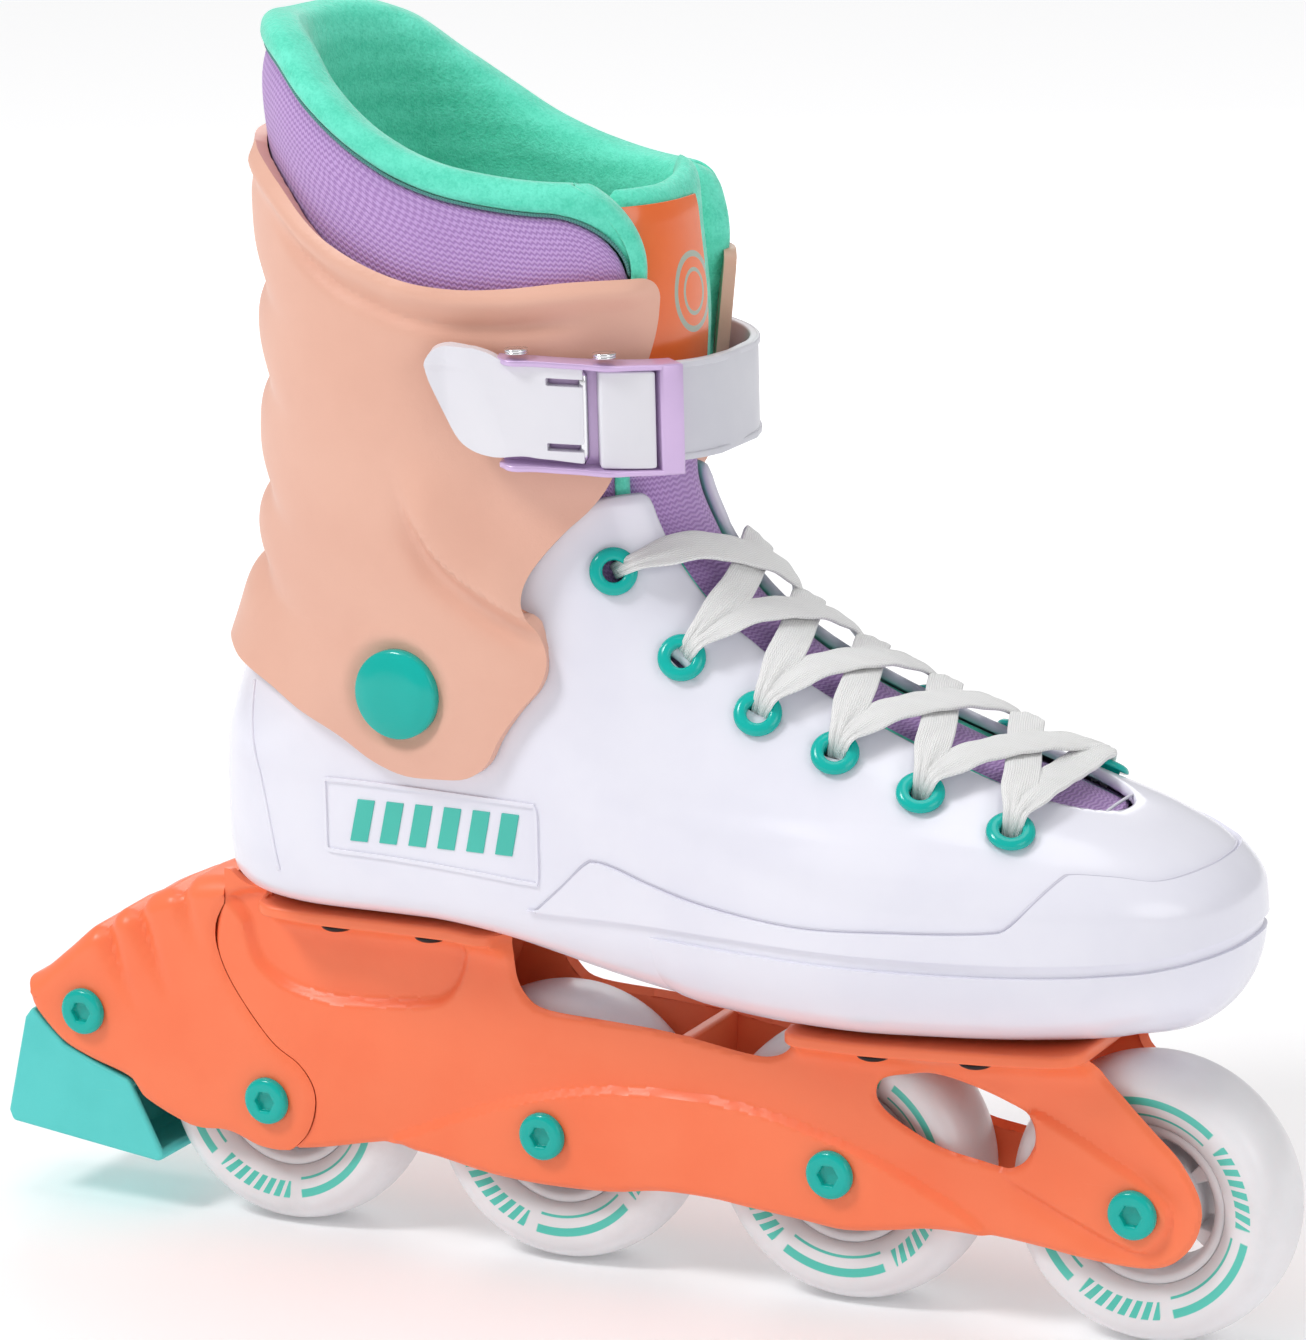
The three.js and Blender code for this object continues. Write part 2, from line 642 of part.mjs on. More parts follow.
// ---- laces --------------------------------------------------------------------------------------------
// a flat band along a path, lying on the normals given at its points
function band(points, normals, width, thickness) {
  const rings = points.map((p, i) => {
    const a = points[Math.max(0, i - 1)];
    const b = points[Math.min(points.length - 1, i + 1)];
    const t = b.clone().sub(a).normalize();
    const w = new THREE.Vector3().crossVectors(normals[i], t).normalize().multiplyScalar(width / 2);
    const h = new THREE.Vector3().crossVectors(t, w).normalize().multiplyScalar(thickness / 2);
    return [p.clone().sub(w).sub(h), p.clone().add(w).sub(h), p.clone().add(w).add(h), p.clone().sub(w).add(h)];
  });
  return loft(rings);
}

function insideForm(p) {
  const s = (p.x - heelX(p.z)) / (frontX(p.z) - heelX(p.z));
  if (s <= 0 || s >= 1) return false;
  const shift = level(p.z, 8) * ramp(0.35, 1, s) * KY;
  return Math.abs(p.y - shift) < halfWidth(p.z, s, p.y < shift ? -1 : 1);
}

// how far the form's surface lies from a point inside it
function depthUnder(p, direction) {
  let low = -8;
  let high = 60;
  for (let i = 0; i < 40; i++) {
    const mid = (low + high) / 2;
    if (insideForm(p.clone().addScaledVector(direction, mid))) low = mid;
    else high = mid;
  }
  return low;
}

// from one eyelet over the instep to another, higher at the ends than over the tongue
function laceRun(a, b, ends, middle) {
  const points = [];
  const normals = [];
  const count = 6;
  const out = a.normal.clone().add(b.normal).setY(0).normalize();
  for (let i = 0; i <= count; i++) {
    const t = i / count;
    const chord = a.at.clone().lerp(b.at, t);
    const end = Math.abs(2 * t - 1);
    const n = out.clone().lerp(t < 0.5 ? a.normal : b.normal, Math.pow(end, 1.5)).normalize();
    const height = mix(middle, ends + Math.max(seatOf(a), seatOf(b)), Math.pow(end, 1.6));
    points.push(chord.addScaledVector(out, depthUnder(chord, out)).addScaledVector(n, height));
    normals.push(n);
  }
  return band(points, normals, LACE_WIDTH, LACE_THICKNESS);
}

function makeLace(places) {
  const at = (i, side) => places.find((p) => p.index === i && p.side === side);
  const runs = [laceRun(at(EYELET_COUNT - 1, -1), at(EYELET_COUNT - 1, 1), 3.6, 1.8)];
  for (let i = 0; i + 1 < EYELET_COUNT; i++) {
    runs.push(laceRun(at(i + 1, -1), at(i, 1), 3.6, 1.8));
    runs.push(laceRun(at(i + 1, 1), at(i, -1), 4.3, 2.9));
  }
  return solidOnly(union(...runs));
}

// ---- frame --------------------------------------------------------------------------------------------
const MIDDLE_X = 120;             // middle of the wheelbase, under the arch
const AXLE_X = [0, 1, 2, 3].map((i) => MIDDLE_X * KX + (i - 1.5) * WHEEL_PITCH);
const AXLE_Z = WHEEL_TOP - WHEEL_DIAMETER / 2;

// the frame's side view is drawn on an 80 mm pitch and 72 mm wheels, and follows the real ones
const fx = (x) => MIDDLE_X * KX + ((x - MIDDLE_X) * WHEEL_PITCH) / 80;
const fz = (z) => (z < WHEEL_TOP ? AXLE_Z + ((z - 36) * WHEEL_DIAMETER) / 72 : z);
const framePoint = ([x, z]) => [fx(x), fz(z)];

function frameWallOutline() {
  const low = [[-13, 34], [-11, 26], [-4, 23.5], [4, 23], [16, 24.5], [35, 28], [42, 27], [50, 26], [64, 23.5],
    [80, 22.5], [98, 23], [112, 25], [126, 25], [136, 24], [152, 22.5], [163, 21.5], [175, 23], [189, 25],
    [213, 24], [223, 23], [234, 22], [243, 22], [250, 24.5], [255.5, 31], [257, 40], [252, 50], [245, 57],
    [238, 64], [231, 72], [229, 95]];
  const top = [[150, 95], [150, 73], [149, 67], [144, 64], [136, 64], [116, 67], [100, 68], [82, 69], [76, 72],
    [73, 78], [73, 97], [4, 97], [-2, 91], [-10, 85], [-15, 70], [-13, 50]];
  const shape = outline([...low, ...top].map(framePoint));
  const hole = [[172, 58], [174, 62], [181, 64], [188, 65], [198, 63], [207, 60], [213, 56], [214, 52],
    [212, 46], [207, 43], [200, 44], [189, 46], [180, 50], [174, 54]].reverse();
  shape.holes.push(new THREE.Path(hole.map((p) => new THREE.Vector2(...framePoint(p)))));
  return shape;
}

function brakeSeam() {
  return [[-11, 120], [-11, 88], [-14, 82], [-14, 76], [-11, 68], [-5, 59], [2, 51], [9, 46.5], [13, 41],
    [13.5, 35], [11, 28], [6, 23], [2, 10]].map(framePoint);
}

function flangeBand(x0, x1) {
  const n = 5;
  const low = [];
  for (let i = 0; i <= n; i++) {
    const x = mix(fx(x0), fx(x1), i / n);
    low.push([x, keel(x) - FLANGE_THICKNESS]);
  }
    const high = low.slice().reverse().map(([x, z]) => [x, z + FLANGE_THICKNESS + 5]);
  return slab(outline([...low, ...high]), -FLANGE_WIDTH / 2, FLANGE_WIDTH / 2);
}

function makeFrame(room) {
  const inner = FRAME_INNER / 2;
  const outer = inner + FRAME_WALL;
  const shape = frameWallOutline();
  let body = union(slab(shape, -outer, -inner), slab(shape, inner, outer), flangeBand(3, 71));
  body = body.add(flangeBand(152, 230));
  const rib = [[117, 54], [122, 54], [122, 66], [117, 66]].map(framePoint);
  body = body.add(slab(outline(rib), -inner - 0.5, inner + 0.5));
  const rear = [...brakeSeam(), [-60, 10], [-60, 120]].map(([x, z], i, all) => (i < all.length - 2 ? [x, z]
    : [fx(x), z]));
  for (const side of [-1, 1]) {
    const y = inner + FRAME_REAR_WALL;
    const [a, b] = side < 0 ? [-60, -y] : [y, 60];
    body = body.subtract(slab(outline(rear), a, b));
  }
  body = body.subtract(room);
  // slots through the decks where a tyre comes up to the sole
  const reach = WHEEL_DIAMETER / 2 + WHEEL_CLEARANCE;
  const half = Math.sqrt(reach * reach - (reach - WHEEL_CLEARANCE - FLANGE_THICKNESS) ** 2);
  for (const x of AXLE_X) {
    const slot = outline([[x - half, 60], [x + half, 60], [x + half, 84], [x - half, 84]]);
    if (x > fx(71)) body = body.subtract(slab(slot, -inner, inner));
    body = body.subtract(bar(BEARING_BORE / 2 + GAP, x, AXLE_Z, -40, 40, 8));
  }
  for (const p of rivetPlaces()) body = body.subtract(rivetHole(p));
  return body;
}

function rivetPlaces() {
  const list = [];
  for (const x of [26, 53, 175, 202]) for (const side of [-1, 1]) list.push({ x: fx(x), y: side * 22.2 });
  return list;
}

function rivetHole(p) {
  const g = new THREE.CylinderGeometry(2.6, 2.6, 12, 8);
  g.rotateX(Math.PI / 2);
  g.translate(p.x, p.y, keel(p.x) - 3);
  return solid(g);
}

function makeRivet(p) {
  const z = keel(p.x) - FLANGE_THICKNESS - GAP;
  const profile = [[0, -1.5], [3.2, -1.2], [4.4, 0], [2.3, 0], [2.3, FLANGE_THICKNESS - 0.4],
    [0, FLANGE_THICKNESS - 0.4]];
  const g = turned(profile, 8);
  g.rotateX(Math.PI / 2);
  g.translate(p.x, p.y, z - 0.3);
  return solid(g);
}

// ---- brake --------------------------------------------------------------------------------------------
const BRAKE_BOLT_X = -55;
const BRAKE_BOLT_Z = 54;
const BRACKET_LOW = [[-72, 58], [-71, 54], [-68, 50], [-62, 44.5], [-54, 41], [-42, 37], [-38, 32], [-24, 26],
  [-13, 26], [-4, 23], [2, 22.5]];

function makeBracket(room) {
  const inner = FRAME_INNER / 2 + FRAME_REAR_WALL + GAP;
  const outer = inner + BRACKET_WALL;
  const seamLine = brakeSeam().slice(1).map(([x, z]) => [x - GAP, z]).reverse().slice(1);
  const high = [[-12, 94], [-19, 93], [-30, 88.5], [-42, 82.5], [-53, 76], [-62, 68.5], [-71, 61.5]];
  const side = [...BRACKET_LOW.map(framePoint), ...seamLine, ...high.map(framePoint)];
  let body = slab(outline(side), -outer, outer);
  const cavity = [[-69, 20], [-69, 57], [-60, 64.5], [-52, 71], [-41, 78], [-29, 84], [-18, 88.5], [20, 91],
    [20, 20]].map(framePoint);
  body = body.subtract(slab(outline(cavity), -inner, inner)).subtract(room);
  body = body.subtract(bar(BEARING_BORE / 2 + GAP, AXLE_X[0], AXLE_Z, -40, 40, 8));
  return body.subtract(bar(BRAKE_BOLT / 2 + GAP, fx(BRAKE_BOLT_X), fz(BRAKE_BOLT_Z), -40, 40, 8));
}

function makePad() {
  const low = [[-77, 38], [-81, 23], [-80, 20.6], [-34, 14.5], [-32.5, 15.5], [-36, 24], [-43, 36]];
  const top = [[-42.5, 36.4], [-54, 40.2], [-62.3, 43.8], [-68.3, 49.4], [-71.4, 53.6], [-74, 50]];
  let body = slab(outline([...low, ...top].map(framePoint)), -PAD_WIDTH / 2, PAD_WIDTH / 2);
  const stemHalf = FRAME_INNER / 2 + FRAME_REAR_WALL - 0.3;
  const stem = [[-66, 42], [-47, 36], [-46, 58], [-50, 62], [-60, 62], [-66, 56]].map(framePoint);
  body = body.add(slab(outline(stem), -stemHalf, stemHalf));
  return body.subtract(bar(BRAKE_BOLT / 2 + GAP, fx(BRAKE_BOLT_X), fz(BRAKE_BOLT_Z), -40, 40, 8));
}

function headBolt(x, z, half, shank, head, sides) {
  const h = 2.2;
  const profile = [[0, -half - GAP - h], [head / 2 - 0.5, -half - GAP - h], [head / 2, -half - GAP],
    [shank / 2, -half - GAP], [shank / 2, half + GAP], [head / 2, half + GAP],
    [head / 2 - 0.5, half + GAP + h], [0, half + GAP + h]];
  const g = turned(profile, sides);
  g.translate(x, 0, z);
  let body = solid(g);
  for (const side of [-1, 1]) {
    const socket = new THREE.CylinderGeometry(AXLE_HEX / 1.73, AXLE_HEX / 1.73, 3.6, 6);
    socket.translate(x, side * (half + GAP + h), z);
    body = body.subtract(solid(socket));
  }
  return body;
}

// ---- wheels -------------------------------------------------------------------------------------------
function makeTyre() {
  const r = WHEEL_DIAMETER / 2;
  const w = WHEEL_WIDTH / 2;
  const core = HUB_DIAMETER / 2 + GAP;
  const half = HUB_WIDTH / 2;
  const side = [[core, half], [r - 8.5, w], [r - 3.6, w * 0.78], [r, w * 0.26]];
  const profile = [...side, ...side.slice().reverse().map(([a, b]) => [a, -b])];
  return turned(profile, 22);
}

function ring(radius, sides, phase = 0) {
  const pts = [];
  for (let i = 0; i < sides; i++) {
    const a = ((i + phase) / sides) * Math.PI * 2;
    pts.push([radius * Math.cos(a), radius * Math.sin(a)]);
  }
  return pts;
}

function makeHub() {
  const windows = 6;
  const shape = outline(ring(HUB_DIAMETER / 2, 22));
  const path = (pts) => new THREE.Path(pts.map(([a, b]) => new THREE.Vector2(a, b)));
  const seat = BEARING_DIAMETER / 2 + 0.4;
  shape.holes.push(path(ring(seat, 12)));
  const r0 = seat + 2.4;
  const r1 = HUB_DIAMETER / 2 - 1.6;
  for (let i = 0; i < windows; i++) {
    const a = (i / windows) * Math.PI * 2;
    const da = Math.PI / windows - 0.085;
    const corner = (r, t) => [r * Math.cos(a + t), r * Math.sin(a + t)];
    shape.holes.push(path([corner(r0, -da * 0.85), corner(r1, -da), corner(r1, da), corner(r0, da * 0.85)]));
  }
  const g = new THREE.ExtrudeGeometry(shape, { depth: HUB_WIDTH - 1, bevelEnabled: false });
  g.translate(0, 0, -(HUB_WIDTH - 1) / 2);
  g.rotateX(Math.PI / 2);
  return g;
}

function makeBearing() {
  const a = BEARING_BORE / 2 + 0.15;
  const b = BEARING_DIAMETER / 2;
  const h = BEARING_WIDTH / 2;
  return turned([[a, -h], [b, -h], [b, h], [a, h]], 10);
}

// ---- looks and assembly -------------------------------------------------------------------------------
const look = (color, roughness, metalness = 0) => new THREE.MeshStandardMaterial({ color, roughness, metalness });
const WHITE = look(0xf1eff8, 0.3);
const PEACH = look(0xe8b9a2, 0.55);
const ORANGE = look(0xff7b50, 0.42);
const TEAL = look(0x14b8a6, 0.25);
const PAD = look(0x50d5cc, 0.5);
const PURPLE = look(0xb98ccb, 0.9);
const MINT = look(0x5fe3c3, 0.9);
const LILAC = look(0xcbb2e0, 0.35, 0.4);
const STEEL = look(0xd5d5da, 0.2, 0.9);
const BLACK = look(0x1b1a1c, 0.4, 0.5);
const LACE = look(0xf4f4f4, 0.85);
const TYRE = look(0xf6f4f4, 0.35);
const HUB = look(0xfafafa, 0.4);

const skate = new THREE.Group();
skate.name = "skate";

function put(name, body, material, parent = skate) {
  const geometry = body.isBufferGeometry ? body : geometryOf(body);
  const mesh = new THREE.Mesh(geometry, material);
  mesh.name = name;
  parent.add(mesh);
  return mesh;
}

function addBoot(sole, places) {
  put("sole", sole, WHITE);
  put("upper_shell", makeShell(places), WHITE);
  put("liner", makeLiner(), PURPLE);
  put("tongue", makeTongue(), PURPLE);
  put("insole", makeInsole(), MINT);
  put("cuff", makeCuff(), PEACH);
  for (const p of places) {
    const where = p.side < 0 ? "lateral" : "medial";
    put(`eyelet_${where}_${p.index + 1}`, eyelet(p), TEAL);
  }
  put("lace", makeLace(places), LACE);
}

function addCuffHardware() {
  put("cuff_pivot_lateral", makePivot(-1), TEAL);
  put("cuff_pivot_medial", makePivot(1), TEAL);
  put("strap", makeStrap(), WHITE);
  put("buckle_base", makeBuckleBase(), LILAC);
  put("buckle_block", makeBuckleBlock(), WHITE);
  put("buckle_lever", makeLever(), WHITE);
  put("buckle_pin_rear", makeBucklePin(0.735), STEEL);
  put("buckle_pin_front", makeBucklePin(0.875), STEEL);
}

function addFrame() {
  const room = makeSole(true);
  put("frame", makeFrame(room), ORANGE);
  put("brake_bracket", makeBracket(room), ORANGE);
  put("brake_pad", makePad(), PAD);
  const outer = FRAME_INNER / 2 + FRAME_REAR_WALL + GAP + BRACKET_WALL;
  put("brake_bolt", headBolt(fx(BRAKE_BOLT_X), fz(BRAKE_BOLT_Z), outer, BRAKE_BOLT, AXLE_HEAD, 10), TEAL);
  rivetPlaces().forEach((p, i) => put(`mount_rivet_${i + 1}`, makeRivet(p), BLACK));
}

function addWheel(number, x) {
  const wheel = new THREE.Group();
  wheel.position.set(x, 0, AXLE_Z);
  skate.add(wheel);
  put(`wheel_${number}_tyre`, makeTyre(), TYRE, wheel);
  put(`wheel_${number}_hub`, makeHub(), HUB, wheel);
  const seat = HUB_WIDTH / 2 - BEARING_WIDTH / 2 - 0.5;
  for (const [side, y] of [["left", seat], ["right", -seat]]) {
    put(`wheel_${number}_bearing_${side}`, makeBearing(), STEEL, wheel).position.y = y;
  }
  const rear = number === 1;
  const half = FRAME_INNER / 2 + (rear ? FRAME_REAR_WALL + GAP + BRACKET_WALL : FRAME_WALL);
  put(`wheel_${number}_axle`, headBolt(x, AXLE_Z, half, BEARING_BORE - 0.3, AXLE_HEAD, 10), TEAL);
}

const sole = makeSole();
const places = eyeletPlaces();
addBoot(sole, places);
addCuffHardware();
addFrame();
AXLE_X.forEach((x, i) => addWheel(i + 1, x));

// the origin is on the foot bed, under the heel
const FOOT_BED_X = 40;
const footBed = seam(FOOT_BED_X * KX) + LINER_FLOOR + 2 * GAP + INSOLE_THICKNESS;
skate.position.set(-FOOT_BED_X * KX, 0, -footBed);
const root = new THREE.Group();
root.name = "inline_skate";
root.add(skate);
export default root;
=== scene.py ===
# %% [markdown]
# # Inline skate, right foot
# A moulded boot with a hinged cuff, a padded liner, a buckle strap and laces, on a frame with four wheels in
# line and a heel brake. Lengths are in millimetres in the skate's own frame: x = 0 over the rear axle, z = 0
# on the ground, and the outside of the foot towards -Y. ORIGIN takes them to the model's frame, whose zero is
# on the foot bed.

# %% Load the fixed frame
import bpy
import bmesh
import math
import numpy as np
from mathutils import Vector, Matrix

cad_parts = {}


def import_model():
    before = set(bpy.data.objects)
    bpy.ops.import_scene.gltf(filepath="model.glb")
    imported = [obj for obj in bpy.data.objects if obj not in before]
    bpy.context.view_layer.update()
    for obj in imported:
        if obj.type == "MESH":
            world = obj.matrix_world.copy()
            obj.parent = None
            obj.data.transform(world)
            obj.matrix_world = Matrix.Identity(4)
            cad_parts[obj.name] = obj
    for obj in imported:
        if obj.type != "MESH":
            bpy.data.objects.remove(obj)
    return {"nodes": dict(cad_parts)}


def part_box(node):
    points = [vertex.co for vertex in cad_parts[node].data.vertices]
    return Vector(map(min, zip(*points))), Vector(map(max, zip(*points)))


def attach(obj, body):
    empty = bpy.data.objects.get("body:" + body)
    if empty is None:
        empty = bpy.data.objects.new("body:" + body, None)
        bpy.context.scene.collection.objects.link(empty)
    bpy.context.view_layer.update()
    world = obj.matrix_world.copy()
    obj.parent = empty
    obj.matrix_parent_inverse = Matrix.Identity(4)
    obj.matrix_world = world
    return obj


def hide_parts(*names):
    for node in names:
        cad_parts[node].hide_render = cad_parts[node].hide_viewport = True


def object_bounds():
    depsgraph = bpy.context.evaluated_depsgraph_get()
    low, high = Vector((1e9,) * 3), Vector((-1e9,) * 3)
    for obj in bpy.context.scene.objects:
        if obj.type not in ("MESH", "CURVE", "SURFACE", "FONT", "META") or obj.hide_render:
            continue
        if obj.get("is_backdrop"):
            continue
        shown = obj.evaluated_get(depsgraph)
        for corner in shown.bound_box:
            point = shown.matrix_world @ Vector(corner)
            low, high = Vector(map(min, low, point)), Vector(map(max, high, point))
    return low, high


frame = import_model()
cad_low, cad_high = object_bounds()
ORIGIN = np.array([40.0, 0.0, 111.782])
MM = 0.001
print("frame nodes:", len(frame["nodes"]), "box:", [round(v, 3) for v in (*cad_low, *cad_high)])


def world(point):
    """A skate point in millimetres, as a point of the model in metres."""
    return Vector((np.asarray(point, float) - ORIGIN) * MM)


# %% [markdown]
# ## Camera
# A long lens from the toe side and a little above, so that the wheels stay nearly round. The camera looks at
# the middle of the skate and leans by under two degrees.

# %% Camera
FRAME_TALL, SENSOR = 1340, 36
FOCAL, DISTANCE, LOOK_AT = 5536.86, 1.37654, (106.196, 0, 155.719)
azimuth, elevation, lean = math.radians(26.749), math.radians(13.388), math.radians(-1.439)
camera_data = bpy.data.cameras.new("camera")
camera_data.lens = FOCAL * SENSOR / FRAME_TALL
camera_data.sensor_width = SENSOR
camera_data.clip_start, camera_data.clip_end = 0.05, 20
camera = bpy.data.objects.new("camera", camera_data)
bpy.context.scene.collection.objects.link(camera)
bpy.context.scene.camera = camera
look_from = Vector((math.sin(azimuth) * math.cos(elevation), -math.cos(azimuth) * math.cos(elevation),
                    math.sin(elevation)))
camera.rotation_mode = "QUATERNION"
facing = (-look_from).to_track_quat("-Z", "Y").to_matrix()
camera.rotation_quaternion = (facing @ Matrix.Rotation(lean, 3, "Z")).to_quaternion()
camera.location = world(LOOK_AT) + look_from * DISTANCE
print("lens", round(camera_data.lens, 1), "mm")

# %% [markdown]
# ## Studio
# The skate stands on a pale floor that runs up into a pale wall. One large soft light from above and the
# outside, a weaker one from the toe side and a low rim light behind give the broad highlights of moulded
# plastic without hard shadows.

# %% Floor and lights
def soft_light(name, place, target, size, power):
    data = bpy.data.lights.new(name, "AREA")
    data.shape, data.size, data.energy = "DISK", size, power
    lamp = bpy.data.objects.new(name, data)
    lamp.location = Vector(place)
    lamp.rotation_mode = "QUATERNION"
    lamp.rotation_quaternion = (Vector(place) - Vector(target)).to_track_quat("Z", "Y")
    bpy.context.scene.collection.objects.link(lamp)


GROUND = float(cad_low[2])
floor_mesh = bmesh.new()
bmesh.ops.create_grid(floor_mesh, x_segments=4, y_segments=4, size=30)
bmesh.ops.translate(floor_mesh, verts=floor_mesh.verts, vec=(0, 0, GROUND))
floor_data = bpy.data.meshes.new("floor")
floor_mesh.to_mesh(floor_data)
floor = bpy.data.objects.new("floor", floor_data)
bpy.context.scene.collection.objects.link(floor)
floor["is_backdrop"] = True
floor_look = bpy.data.materials.new("floor_paper")
floor_look.use_nodes = True
paper = floor_look.node_tree.nodes["Principled BSDF"]
paper.inputs["Base Color"].default_value = (0.9, 0.9, 0.91, 1)
paper.inputs["Roughness"].default_value = 0.6
paper.inputs["Emission Color"].default_value = (1, 1, 1, 1)
tree = floor_look.node_tree
spot = tree.nodes.new("ShaderNodeTexCoord")
away = tree.nodes.new("ShaderNodeVectorMath")
away.operation = "LENGTH"
glow = tree.nodes.new("ShaderNodeMapRange")
# the paper glows a little more with its distance from the skate, in metres, so that it runs into the wall
for socket, value in (("From Min", 0.1), ("From Max", 1.7), ("To Min", 0.10), ("To Max", 0.50)):
    glow.inputs[socket].default_value = value
tree.links.new(spot.outputs["Object"], away.inputs[0])
tree.links.new(away.outputs["Value"], glow.inputs["Value"])
tree.links.new(glow.outputs[0], paper.inputs["Emission Strength"])
floor_data.materials.append(floor_look)

soft_light("key", (-0.9, -1.1, 1.7), (0.06, 0, 0.02), 0.6, 21.5)
soft_light("toe_side", (1.7, -0.7, 0.7), (0.06, 0, 0.02), 1.0, 5)
soft_light("back_rim", (-0.6, 1.5, 0.9), (0.06, 0, 0.05), 1.2, 6)
soft_light("top", (0.1, 0.1, 1.9), (0.06, 0, 0.0), 1.3, 8)
sky = bpy.data.worlds.new("studio")
bpy.context.scene.world = sky
sky.use_nodes = True
ambient = sky.node_tree.nodes["Background"]
ambient.inputs["Color"].default_value = (1, 1, 1, 1)
ambient.inputs["Strength"].default_value = 0.44
backdrop = sky.node_tree.nodes.new("ShaderNodeBackground")
backdrop.inputs["Color"].default_value = (1, 1, 1, 1)
backdrop.inputs["Strength"].default_value = 0.98
chooser = sky.node_tree.nodes.new("ShaderNodeMixShader")
rays = sky.node_tree.nodes.new("ShaderNodeLightPath")
sky.node_tree.links.new(rays.outputs["Is Camera Ray"], chooser.inputs[0])
sky.node_tree.links.new(ambient.outputs[0], chooser.inputs[1])
sky.node_tree.links.new(backdrop.outputs[0], chooser.inputs[2])
sky.node_tree.links.new(chooser.outputs[0], sky.node_tree.nodes["World Output"].inputs["Surface"])
bpy.context.scene.view_settings.view_transform = "Standard"
print("ground at", round(GROUND, 4))

# %% [markdown]
# ## The boot's form
# A skate boot is moulded on a last, so every layer of it, from the liner to the cuff, is one shape at its own
# distance. The shape is given by level sections, from the sole up to the collar, and a point on it by a, which
# runs 0 at the heel, 1 at the toe and 2 back at the heel, and by its height z.

# %% Level sections of the form
# height, heel x, front x, half width: heel, waist outside, waist inside, ball outside, ball inside, swing
LEVELS = np.array([
    [86, -5, 252, 30, 33, 32, 42, 41, 4], [96, -8.5, 260, 36.5, 39, 38, 49, 47.5, 4.5],
    [104, -10, 262.5, 39, 41.5, 40.5, 50.5, 49, 5], [112, -10.5, 262, 39.5, 42, 41, 50.5, 49, 5],
    [121, -10.3, 255.5, 39.5, 42.5, 41.5, 49, 47.5, 5], [128, -10, 243.5, 39.5, 42.5, 41.5, 46, 44, 4.5],
    [134, -9, 227, 40, 42.5, 41.5, 43, 40, 4], [145, -7, 198, 40.5, 42.5, 41.5, 39.5, 35, 2.5],
    [156, -4, 172, 41, 42.5, 41.5, 38, 33.5, 1], [168, 0, 150, 41.5, 42.5, 41.5, 38, 34, 0],
    [181, 4, 134, 41.5, 42.5, 41.5, 38.5, 35, 0], [192, 6.5, 125.5, 42, 42.5, 42, 39, 36, 0],
    [206, 8, 120, 42.5, 43, 42.5, 39, 37, 0], [235, 9.5, 121, 44.5, 44.5, 44, 40, 39, 0],
    [275, 9, 125, 44.5, 44.5, 44, 40.5, 40, 0], [318, 9.5, 127, 44, 44.5, 44, 40.5, 40, 0]])
print("level sections:", len(LEVELS))


# %% Smooth curves between stations
def curve(xs, ys, x):
    """A smooth curve through stations that never overshoots them."""
    xs, ys = np.asarray(xs, float), [np.asarray(y, float) for y in ys]
    x = np.asarray(x, float)
    slopes = [(ys[k + 1] - ys[k]) / (xs[k + 1] - xs[k]) for k in range(len(xs) - 1)]
    tangents = [slopes[0]]
    for a, b in zip(slopes, slopes[1:]):
        tangents.append(np.where(a * b <= 0, 0.0, 2 * a * b / np.where(a + b == 0, 1, a + b)))
    tangents.append(slopes[-1])
    out = np.where(x <= xs[0], ys[0], ys[-1]) * np.ones_like(x)
    for k in range(len(xs) - 1):
        h = xs[k + 1] - xs[k]
        t = np.clip((x - xs[k]) / h, 0, 1)
        t2, t3 = t * t, t * t * t
        piece = ((2 * t3 - 3 * t2 + 1) * ys[k] + (3 * t2 - 2 * t3) * ys[k + 1]
                 + (t3 - 2 * t2 + t) * tangents[k] * h + (t3 - t2) * tangents[k + 1] * h)
        out = np.where((x > xs[k]) & (x <= xs[k + 1]), piece, out)
    return out


def ramp(a, b, x):
    t = np.clip((np.asarray(x, float) - a) / (b - a), 0, 1)
    return t * t * (3 - 2 * t)


FINE_Z = np.arange(82, 334, 0.25)
FINE = [curve(LEVELS[:, 0], list(LEVELS[:, k]), FINE_Z) for k in range(9)]


def level(z, k):
    return np.interp(z, FINE_Z, FINE[k])


print("widest at the ball:", round(float(level(104, 6) + level(104, 7)), 1), "mm")


# %% Points on the form and square off it
def on_form(a, z):
    """Point of the form: a from heel (0) over the outside to the toe (1) and back (2); z is the height."""
    a, z = np.broadcast_arrays(np.asarray(a, float), np.asarray(z, float))
    s = (1 - np.cos(np.pi * a)) / 2
    out = np.mod(a, 2) < 1
    upright = ramp(134, 175, z)
    heel_end = 0.15 + 0.25 * upright
    toe_start = 0.6 - 0.1 * upright
    toe_power = 2.5 - 0.15 * upright
    heel_power = 2.2 - 0.2 * upright
    heel, waist = level(z, 3), np.where(out, level(z, 4), level(z, 5))
    ball = np.where(out, level(z, 6), level(z, 7))
    body = curve([0, 0.2, 0.45, 0.72, 1], [heel, heel, waist, ball, ball * 0.97], s)
    back = np.clip((heel_end - s) / heel_end, 0, 1)
    fore = np.clip((s - toe_start) / (1 - toe_start), 0, 1)
    rear = np.power(np.clip(1 - back ** heel_power, 0, 1), 1 / heel_power)
    front = np.power(np.clip(1 - fore ** toe_power, 0, 1), 1 / toe_power)
    x = level(z, 1) + (level(z, 2) - level(z, 1)) * s
    y = np.where(out, -1, 1) * body * rear * front + level(z, 8) * ramp(0.35, 1, s)
    return np.stack([x, y, z], -1)


